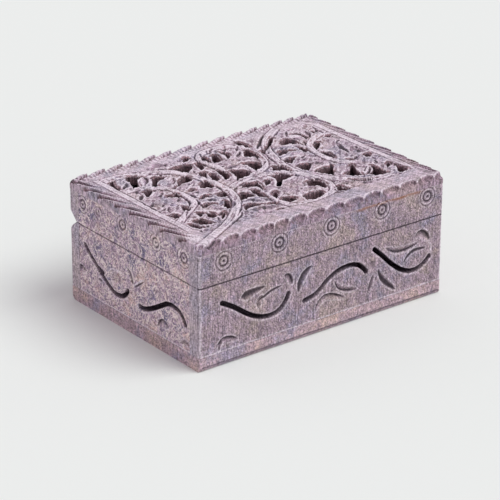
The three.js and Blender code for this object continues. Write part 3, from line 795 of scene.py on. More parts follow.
@dataclass
class CarvedSlab:
    """One slab: a carved outer face over a grid, walls down its outline and openings, and a flat
    inner face.

    The walls' rows lie at wall_shares of the way in. Those of an opening sway a little and get
    painted shade, darker and browner further in, and those of the outline get painted light by the
    way they face: across, and up and down.
    """

    node: str
    body: str
    slot: str
    facing: Facing
    stone: bpy.types.Material
    carve: Callable[[FacePlaces], Relief]
    pitch: float = 0.42
    ease_step: float = 0.3
    ease_rounds: int = 3
    corner_degrees: float = 48.0
    wall_shares: tuple[float, ...] = (0.12, 0.4, 0.72, 1.0)
    wall_wobble: float = 0.12
    bore_painted_shade: float = -0.85
    side_painted_lights: tuple[float, float] = (0.0, 0.0)
    wear_and_light_mm: float = 1.1
    wear_and_light_share: float = 0.8
    brown_share: float = 1.1
    sharp_degrees: float = 42.0
    unfold_rounds: int = 8
    unfold_share: float = 0.25
    least_step_share: float = 0.1
    mend_rounds: int = 6
    search_mm: float = 4.0
    wear_and_light_cells: int = 4
    wear_and_light_limits: tuple[float, float] = (-0.45, 0.6)
    deepest_share: float = 0.96
    wall_waves: tuple[float, ...] = (1.9, 7.0, 2.3, -5.0)
    wall_lean: float = -0.6
    bore_painted_shade_power: float = 0.7
    bore_brown_shade_shares: tuple[float, float] = (-0.1, 0.3)

    def measure(self, points: np.ndarray, outline: np.ndarray,
                openings: list[np.ndarray]) -> tuple[np.ndarray, ...]:
        """Distance of each point from the outline and from the nearest opening, negative outside
        the stone, and the nearest place on either.

        Args:
            points: points of the face.
            outline: the slab's own outline.
            openings: outlines of what is pierced through it.

        Returns:
            Distance from the outline, distance from openings, and the nearest place of all.
        """
        rim, nearest, _, _ = nearest_on(outline, points)
        rim = np.where(inside(outline, points), rim, -rim)
        opening, place = np.full(len(points), FAR), nearest.copy()
        for loop in openings:
            low, high = loop.min(0) - self.search_mm, loop.max(0) + self.search_mm
            near = np.flatnonzero(((points > low) & (points < high)).all(1))
            gap, spot, _, _ = nearest_on(loop, points[near])
            gap = np.where(inside(loop, points[near]), -gap, gap)
            closer = gap < opening[near]
            opening[near[closer]] = gap[closer]
            better = closer & (gap < np.abs(rim[near]))
            place[near[better]] = spot[better]
        return rim, opening, place

    def grid(self, outline: np.ndarray, openings: list[np.ndarray]) -> tuple[np.ndarray, ...]:
        """Grid over the outline's box, without the cells whose middle lies off the stone. Points
        at the border of the kept cells are moved onto the nearest outline.

        Args:
            outline: the slab's own outline.
            openings: outlines of what is pierced through it.

        Returns:
            Points used, their places in the grid, their measures, the direction to the nearest
            outline, cells as rows of four points, and border edges that have the stone on their
            left.
        """
        low, high = outline.min(0), outline.max(0)
        counts = np.maximum(2, np.round((high - low) / self.pitch).astype(int))
        lines = [np.linspace(low[k], high[k], counts[k] + 1) for k in (0, 1)]
        points = np.stack(np.meshgrid(*lines, indexing="ij"), -1).reshape(-1, 2)
        rim, opening, place = self.measure(points, outline, openings)
        depth_in = np.minimum(rim, opening).reshape(counts + 1)
        middle = (depth_in[:-1, :-1] + depth_in[1:, :-1] + depth_in[1:, 1:] + depth_in[:-1, 1:])
        keep = middle > 0
        for _ in range(self.mend_rounds):
            slash = keep[:-1, :-1] & keep[1:, 1:] & ~keep[1:, :-1] & ~keep[:-1, 1:]
            keep[1:, :-1] |= slash
            slope = ~keep[:-1, :-1] & ~keep[1:, 1:] & keep[1:, :-1] & keep[:-1, 1:]
            keep[:-1, :-1] |= slope
        number = np.arange(len(points)).reshape(counts + 1)
        corner = [number[:-1, :-1], number[1:, :-1], number[1:, 1:], number[:-1, 1:]]
        cells = np.stack([c[keep] for c in corner], 1)
        ring = np.pad(keep, 1)
        open_side = [~ring[1:-1, :-2], ~ring[2:, 1:-1], ~ring[1:-1, 2:], ~ring[:-2, 1:-1]]
        edges = np.vstack([
            np.stack([corner[k][keep & open_side[k]], corner[(k + 1) % 4][keep & open_side[k]]], 1)
            for k in range(4)])
        border = np.unique(edges)
        away = place - points
        towards = away / np.maximum(np.linalg.norm(away, axis=1, keepdims=True), TINY)
        points[border] = place[border]
        self.unfold(points, edges)
        used, packed = np.unique(cells, return_inverse=True)
        renumber = np.full(len(points), -1)
        renumber[used] = np.arange(len(used))
        rim[border] = np.clip(rim[border], 0, None)
        near_opening = opening[border] < np.abs(rim[border]) + TINY
        opening[border[near_opening]] = 0
        spots = np.stack(np.unravel_index(used, counts + 1), 1)
        return (points[used], spots, rim[used], opening[used], towards[used],
                packed.reshape(cells.shape), renumber[edges])

    def unfold(self, points: np.ndarray, edges: np.ndarray) -> None:
        """Draws border points apart where two that follow each other were moved onto the same
        stretch of outline, so that the border never runs back over itself.

        Args:
            points: the grid's points, changed in place.
            edges: border edges as rows of two point numbers.
        """
        start, end = edges.T
        after, before = np.arange(len(points)), np.arange(len(points))
        after[start], before[end] = end, start
        for _ in range(self.unfold_rounds):
            way = points[after[end]] - points[before[start]]
            ahead = ((points[end] - points[start]) * way).sum(1)
            tight = ahead < self.least_step_share * (way**2).sum(1)
            first, second = start[tight], end[tight]
            drawn_back = (points[before[first]] - points[first]) * self.unfold_share
            drawn_on = (points[after[second]] - points[second]) * self.unfold_share
            points[first] += drawn_back
            points[second] += drawn_on

    def sunk(self, spots: np.ndarray, depth: np.ndarray) -> np.ndarray:
        """How far places lie below the mean level round them. What stands above it is made paler,
        as rubbed stone and painted highlight, and what lies below it darker, as dirt and painted
        shade.

        Args:
            spots: each place's row and column in the grid.
            depth: the relief's depth at each place, in mm.

        Returns:
            Millimetres below the level round each place.
        """
        size = spots.max(0) + 1
        known, level = np.zeros(size), np.zeros(size)
        known[tuple(spots.T)] = 1
        level[tuple(spots.T)] = depth
        cells = np.arange(-self.wear_and_light_cells, self.wear_and_light_cells + 1)
        bell = Bell(0.0, self.wear_and_light_mm).at(cells * self.pitch)
        for axis in (0, 1):
            known = np.apply_along_axis(np.convolve, axis, known, bell, "same")
            level = np.apply_along_axis(np.convolve, axis, level, bell, "same")
        return depth - (level / np.maximum(known, TINY))[tuple(spots.T)]

    def carved(self, places: FacePlaces, spots: np.ndarray) -> Relief:
        """Carves the face and wears it: what stands up is made pale, rubbed and with painted
        highlight, and what lies low dark and brown, with dirt and painted shade.

        Args:
            places: the face's places.
            spots: each place's row and column in the grid.

        Returns:
            The relief.
        """
        relief = self.carve(places)
        sunk = self.sunk(spots, relief.depth)
        # Paler where the face stands above its surroundings, darker and browner where it lies
        # below: wear and dust, and painted highlight and shade
        worn = self.wear_and_light_share * np.clip(sunk, *self.wear_and_light_limits)
        relief.rub = np.clip(relief.rub - worn, -1, 1)
        relief.hollow = np.clip(relief.hollow + self.brown_share * np.clip(sunk, 0, 1), 0, 1)
        return relief

    def walls(self, brink: np.ndarray, inner: float, edges: np.ndarray,
              piercing: np.ndarray) -> tuple[np.ndarray, ...]:
        """Rows of points down the outline and the openings, from the brink to the inner face.

        Args:
            brink: the carved face's border, in mm.
            inner: how far out the inner face lies.
            edges: border edges as rows of two numbers into the brink.
            piercing: whether each point lies on an opening.

        Returns:
            The rows' points, their painted light and shade, and their brown painted shade, row
            after row.
        """
        start, end = edges.T
        flat = brink[:, :2]
        ahead = np.zeros_like(flat)
        ahead[start] += flat[end] - flat[start]
        ahead[end] += flat[end] - flat[start]
        outward = np.column_stack([ahead[:, 1], -ahead[:, 0]])
        outward /= np.maximum(np.linalg.norm(outward, axis=1, keepdims=True), TINY)
        # Painted light: each wall of the outline is shifted in tone by the way it faces
        side_painted_light = np.abs(outward) @ np.array(self.side_painted_lights)
        x, y = flat.T
        x_rate, x_turn, y_rate, y_turn = self.wall_waves
        rows, wall_painted_lights, wall_shades = [], [], []
        for share in self.wall_shares:
            drop = brink[:, 2] * (1 - share) + inner * share
            wave = np.sin(x * x_rate + share * x_turn) * np.cos(y * y_rate + share * y_turn)
            shift = piercing * (wave + self.wall_lean) * self.wall_wobble * (share < 1)
            rows.append(np.column_stack([flat + outward * shift[:, None], drop]))
            # Walls of openings: painted shade, darker and browner further in. Walls of the outline:
            # painted light by the way they face
            wall_painted_lights.append(np.where(piercing, self.bore_painted_shade * share**self.bore_painted_shade_power, side_painted_light))
            wall_shades.append(piercing * ramp(share, *self.bore_brown_shade_shares))
        return np.vstack(rows), np.concatenate(wall_painted_lights), np.concatenate(wall_shades)

    def build(self) -> bpy.types.Object:
        """Makes the slab's mesh and puts it in its CAD node's place.

        Returns:
            The finished piece.
        """
        loops, outer, inner = cad_outlines(self.node, self.facing)
        openings = [eased_loop(loop, self.ease_step, self.ease_rounds, self.corner_degrees)
                    for loop in loops[1:]]
        flat, spots, rim, opening, towards, cells, edges = self.grid(loops[0], openings)
        places = FacePlaces(flat, np.maximum(rim, 0), np.maximum(opening, 0), towards)
        relief = self.carved(places, spots)
        deepest = (outer - inner) * self.deepest_share
        top = np.column_stack([flat, outer - np.clip(relief.depth, 0, deepest)])

        border, packed = np.unique(edges, return_inverse=True)
        edges = packed.reshape(edges.shape)
        piercing = opening[border] <= TINY
        wall_points, wall_painted_light, wall_shade = self.walls(top[border], inner, edges, piercing)
        wall_stain = np.tile(relief.stain[border] * ~piercing, len(self.wall_shares))
        start, end = edges.T
        quads, above = [cells], border
        for number in range(len(self.wall_shares)):
            below = len(top) + number * len(border) + np.arange(len(border))
            quads.append(np.column_stack([above[start], below[start], below[end], above[end]]))
            above = below
        quads = np.vstack(quads)
        cap = above[self.inner_face(flat[border], edges)]

        # Brown painted shade: full on the flat inner face inside the box, and as the walls and the
        # relief give it elsewhere
        hollow = np.concatenate([relief.hollow, wall_shade])[quads.reshape(-1)]
        piece = mesh_piece(
            self.node.replace("_", "-"), np.vstack([top, wall_points]) @ self.facing.axes,
            quads, cap[:, ::-1],
            {"rub": np.concatenate([relief.rub, wall_painted_light]),
             "stain": np.concatenate([relief.stain, wall_stain])},
            {"hollow": np.concatenate([hollow, np.ones(cap.size)])})
        piece.data.set_sharp_from_angle(angle=math.radians(self.sharp_degrees))
        piece.data.materials.append(self.stone)
        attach(piece, self.body)
        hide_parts(self.node)
        log.info("%s: %d faces, %d openings", piece.name, len(piece.data.polygons), len(openings))
        return piece

    def inner_face(self, border: np.ndarray, edges: np.ndarray) -> np.ndarray:
        """Fills the stone's flat inner face with triangles between its border edges.

        Args:
            border: points of the border.
            edges: border edges as rows of two point numbers.

        Returns:
            Triangles as rows of three numbers into border, counter-clockwise.
        """
        made = geometry.delaunay_2d_cdt([Vector(p) for p in border.tolist()],
                                        edges.tolist(), [], 0, SAME_PLACE_MM)
        original = np.array([ids[0] if ids else -1 for ids in made[3]])
        triangles = original[np.array(made[2])]
        triangles = triangles[(triangles >= 0).all(1)]
        count = len(border)
        sides = np.stack([triangles, np.roll(triangles, -1, axis=1)], -1)
        known = edges @ (count, 1)
        on_stone = np.isin(sides @ (count, 1), known).any(1)
        off_stone = np.isin(sides @ (1, count), known).any(1)
        within = inside(border[edges], border[triangles].mean(1))
        return triangles[~off_stone & (on_stone | within)]


def mesh_piece(name: str, points: np.ndarray, quads: np.ndarray, triangles: np.ndarray,
               at_points: dict[str, np.ndarray],
               at_corners: dict[str, np.ndarray]) -> bpy.types.Object:
    """Puts whole arrays into a new mesh object at the origin.

    Args:
        name: the piece's name.
        points: points in mm.
        quads: faces of four points.
        triangles: faces of three points.
        at_points: values for each point, by name.
        at_corners: values for each corner of each face, by name.

    Returns:
        The object, smoothly shaded.
    """
    mesh = bpy.data.meshes.new(name)
    corners = np.concatenate([quads.reshape(-1), triangles.reshape(-1)]).astype(np.int32)
    sizes = np.concatenate([np.full(len(quads), 4), np.full(len(triangles), 3)]).astype(np.int32)
    mesh.vertices.add(len(points))
    mesh.vertices.foreach_set("co", (points * MILLIMETRE).astype(np.float32).reshape(-1))
    mesh.loops.add(len(corners))
    mesh.loops.foreach_set("vertex_index", corners)
    mesh.polygons.add(len(sizes))
    mesh.polygons.foreach_set("loop_start", (np.cumsum(sizes) - sizes).astype(np.int32))
    mesh.update(calc_edges=True)
    for domain, given in (("POINT", at_points), ("CORNER", at_corners)):
        for label, values in given.items():
            mesh.attributes.new(label, "FLOAT", domain).data.foreach_set(
                "value", values.astype(np.float32))
    mesh.validate()
    mesh.shade_smooth()
    piece = bpy.data.objects.new(name, mesh)
    bpy.context.scene.collection.objects.link(piece)
    return piece


def hand_wobble(points: np.ndarray, length: float, seed: float) -> np.ndarray:
    """Slow uneven swell of a hand-sawn face, from -1 to 1: broad bent waves, and a finer one.

    Args:
        points: points of the face.
        length: about how far apart swells lie, in mm.
        seed: shifts the waves.

    Returns:
        One value for each point.
    """
    x, y = points[:, 0] * 2 * math.pi / length, points[:, 1] * 2 * math.pi / length
    bent = x + BEND_REACH * np.sin(y * BEND_RATE + seed) + seed
    broad = np.sin(bent) * np.cos(y * CROSS_RATE - seed * 2)
    fine = np.sin(x * FINE_RATES[0] - y * FINE_RATES[1] + seed * 3)
    return (broad + FINE_SHARE * fine) / (1 + FINE_SHARE)


def arris(distance: np.ndarray, radius: float) -> np.ndarray:
    """Depth of a rounded edge: a quarter circle that touches the face at the radius.

    Args:
        distance: how far each place lies from the edge, in mm.
        radius: the edge's radius, in mm.

    Returns:
        Depth in mm.
    """
    away = radius - np.clip(distance, 0, radius)
    return radius - np.sqrt(np.maximum(radius**2 - away**2, 0))


# Ornament that the faces share

T, E = Tool, Ends

# A long wall's marks by tool and ends: width, depth, points in mm from its middle and the table
LONG_WALL_MARKS = {
    # Hollows that start round
    (T.GOUGE, E.DROP): (
        (5.0, 1.3, (-49.8, 32.6), (-44.0, 33.7), (-37.0, 34.6)),
        (2.6, 0.8, (-63.4, 13.0), (-64.2, 11.0), (-64.6, 8.6)),
    ),
    # Hollows with two points
    (T.GOUGE, E.LENS): (
        (3.2, 0.7, (-38.4, 30.4), (-40.4, 27.6), (-40.8, 24.5)),
        (3.8, 1.3, (-16.3, 26.0), (-15.2, 30.5), (-12.6, 34.5), (-8.4, 37.6)),
        (2.4, 0.7, (31.3, 22.3), (29.6, 17.5), (27.9, 13.0)),
        (3.0, 1.3, (34.2, 24.0), (36.8, 18.8), (40.6, 14.6), (45.8, 10.2)),
    ),
    # Veins and gaps cut with a V
    (T.PARTING, E.LENS): (
        (1.4, 0.5, (-40.5, 27.5), (-38.0, 29.2), (-33.0, 31.3), (-26.5, 32.5)),
        (1.9, 0.7, (50.8, 23.4), (53.5, 26.4), (58.0, 28.2), (65.2, 28.0)),
    ),
    # Standing rims
    (T.RIM, E.LENS): (
        (1.2, 0.2, (67.0, 30.5), (68.6, 28.0), (68.8, 24.5)),
    ),
    # Leaves that are deepest on their left
    (T.SLANT_LEFT, E.LENS): (
        (3.6, 1.5, (-25.4, 36.9), (-22.4, 35.4), (-20.2, 31.3)),
        (3.2, 1.2, (-65.8, 11.2), (-62.0, 13.4), (-58.0, 13.1), (-53.4, 11.6)),
        (3.4, 1.3, (-5.7, 12.6), (-3.4, 16.2), (0.6, 18.4), (6.0, 17.4), (12.6, 15.0)),
        (4.6, 1.5, (58.0, 35.0), (61.2, 36.2), (64.3, 34.8), (67.6, 31.5)),
    ),
    # Leaves that are deepest on their right
    (T.SLANT_RIGHT, E.LENS): (
        (2.6, 1.3, (6.4, 25.2), (9.5, 21.3), (14.0, 19.0), (20.6, 17.5)),
        (3.0, 1.2, (39.0, 34.4), (44.0, 31.9), (49.0, 30.9), (54.0, 31.0), (59.7, 31.8)),
    ),
    # Patches of painted shade
    (T.SMUDGE, E.LENS): (
        (3.0, 0.0, (29.5, 30.0), (30.5, 28.0), (31.0, 26.0)),
    ),
}

# A short wall's marks by tool and ends, in the same way
SHORT_WALL_MARKS = {
    # Hollows that start round
    (T.GOUGE, E.DROP): (
        (1.6, 0.8, (23.0, 43.4), (24.4, 42.4), (25.6, 41.9)),
    ),
    # Hollows with two points
    (T.GOUGE, E.LENS): (
        (6.0, 0.2, (-18.0, 23.0), (-13.5, 25.6), (-9.6, 24.0)),
        (2.6, 0.7, (-5.2, 34.0), (-2.5, 31.2), (-0.4, 26.6)),
        (2.4, 0.5, (38.0, 9.9), (41.5, 11.8), (46.0, 11.4)),
        (1.4, 0.7, (-29.8, 19.6), (-28.2, 19.0), (-26.6, 18.8)),
    ),
    # Hollows with square ends
    (T.GOUGE, E.SQUARE): (
        (1.9, 1.3, (-29.0, 25.2), (-27.0, 24.5), (-25.4, 23.9)),
    ),
    # Veins and gaps cut with a V
    (T.PARTING, E.LENS): (
        (1.0, 0.3, (1.0, 25.6), (4.5, 28.2), (9.4, 31.6)),
    ),
    # Standing rims
    (T.RIM, E.LENS): (
        (0.9, 0.2, (-21.5, 24.6), (-19.0, 28.4), (-13.5, 29.5), (-7.6, 29.0)),
        (0.9, 0.2, (0.6, 26.6), (4.1, 29.2), (9.0, 32.6)),
    ),
    # Leaves that are deepest on their left
    (T.SLANT_LEFT, E.LENS): (
        (4.4, 1.1, (-49.5, 16.3), (-46.0, 19.5), (-40.8, 19.3)),
        (4.4, 1.0, (20.3, 12.6), (23.5, 15.1), (28.7, 14.6)),
    ),
}

LONG_RAIL_RINGS = (
    DrilledRing(-61.5, 54.4, worn=0.35), DrilledRing(-28.2, 55.0), DrilledRing(4.0, 55.3),
    DrilledRing(36.0, 55.6), DrilledRing(65.5, 55.3, worn=0.1),
)
SHORT_RAIL_RINGS = (
    DrilledRing(-42.5, 54.8, 4.5, 2.3, worn=0.45, depth=0.55),
    DrilledRing(-28.5, 55.8, 4.4, 2.2, worn=0.9, depth=0.2),
    DrilledRing(-8.5, 55.4, 4.6, 2.4, worn=0.4, depth=0.6),
    DrilledRing(19.0, 55.6, 4.3, 2.2, worn=0.55, depth=0.5),
    DrilledRing(41.5, 55.4, 5.0, 2.5, worn=0.3, depth=0.6),
)

# Stems of the lid's lattice, as shares of its half sides: width in mm, then the run
STEMS = (
    (4.0, ((-1.02, -1.01), (-0.66, -0.74), (-0.50, -0.57), (-0.37, -0.37), (-0.30, -0.15),
           (-0.29, 0.09), (-0.32, 0.31), (-0.38, 0.52), (-0.47, 0.63), (-0.59, 0.70),
           (-0.72, 0.745), (-0.80, 0.755), (-0.86, 0.745))),
    (4.0, ((0.62, 0.84), (0.46, 0.69), (0.36, 0.50), (0.30, 0.28), (0.26, 0.04), (0.26, -0.15),
           (0.32, -0.35), (0.39, -0.48), (0.50, -0.61), (0.62, -0.69), (0.76, -0.71))),
    (3.2, ((-0.86, 0.41), (-0.72, 0.41), (-0.63, 0.31), (-0.58, 0.22), (-0.57, 0.0),
           (-0.59, -0.15), (-0.68, -0.26), (-0.79, -0.37), (-0.87, -0.46))),
    (3.2, ((0.86, 0.52), (0.72, 0.43), (0.62, 0.31), (0.58, 0.15), (0.57, 0.0), (0.59, -0.15),
           (0.66, -0.28))),
    (3.4, ((-0.13, 0.06), (0.0, 0.06), (0.13, 0.13), (0.21, 0.28), (0.25, 0.50), (0.22, 0.69),
           (0.13, 0.78), (0.0, 0.78), (-0.105, 0.70), (-0.12, 0.52), (-0.10, 0.37))),
    (3.4, ((-0.28, -0.09), (-0.13, 0.0), (0.0, 0.0), (0.13, -0.02), (0.24, -0.15),
           (0.29, -0.37), (0.29, -0.59), (0.20, -0.72), (0.0, -0.76), (-0.13, -0.69),
           (-0.14, -0.46))),
    (3.0, ((-0.888, 0.79), (-0.888, 0.0), (-0.888, -0.66))),
    (3.0, ((0.90, 0.70), (0.90, 0.0), (0.90, -0.70))),
)

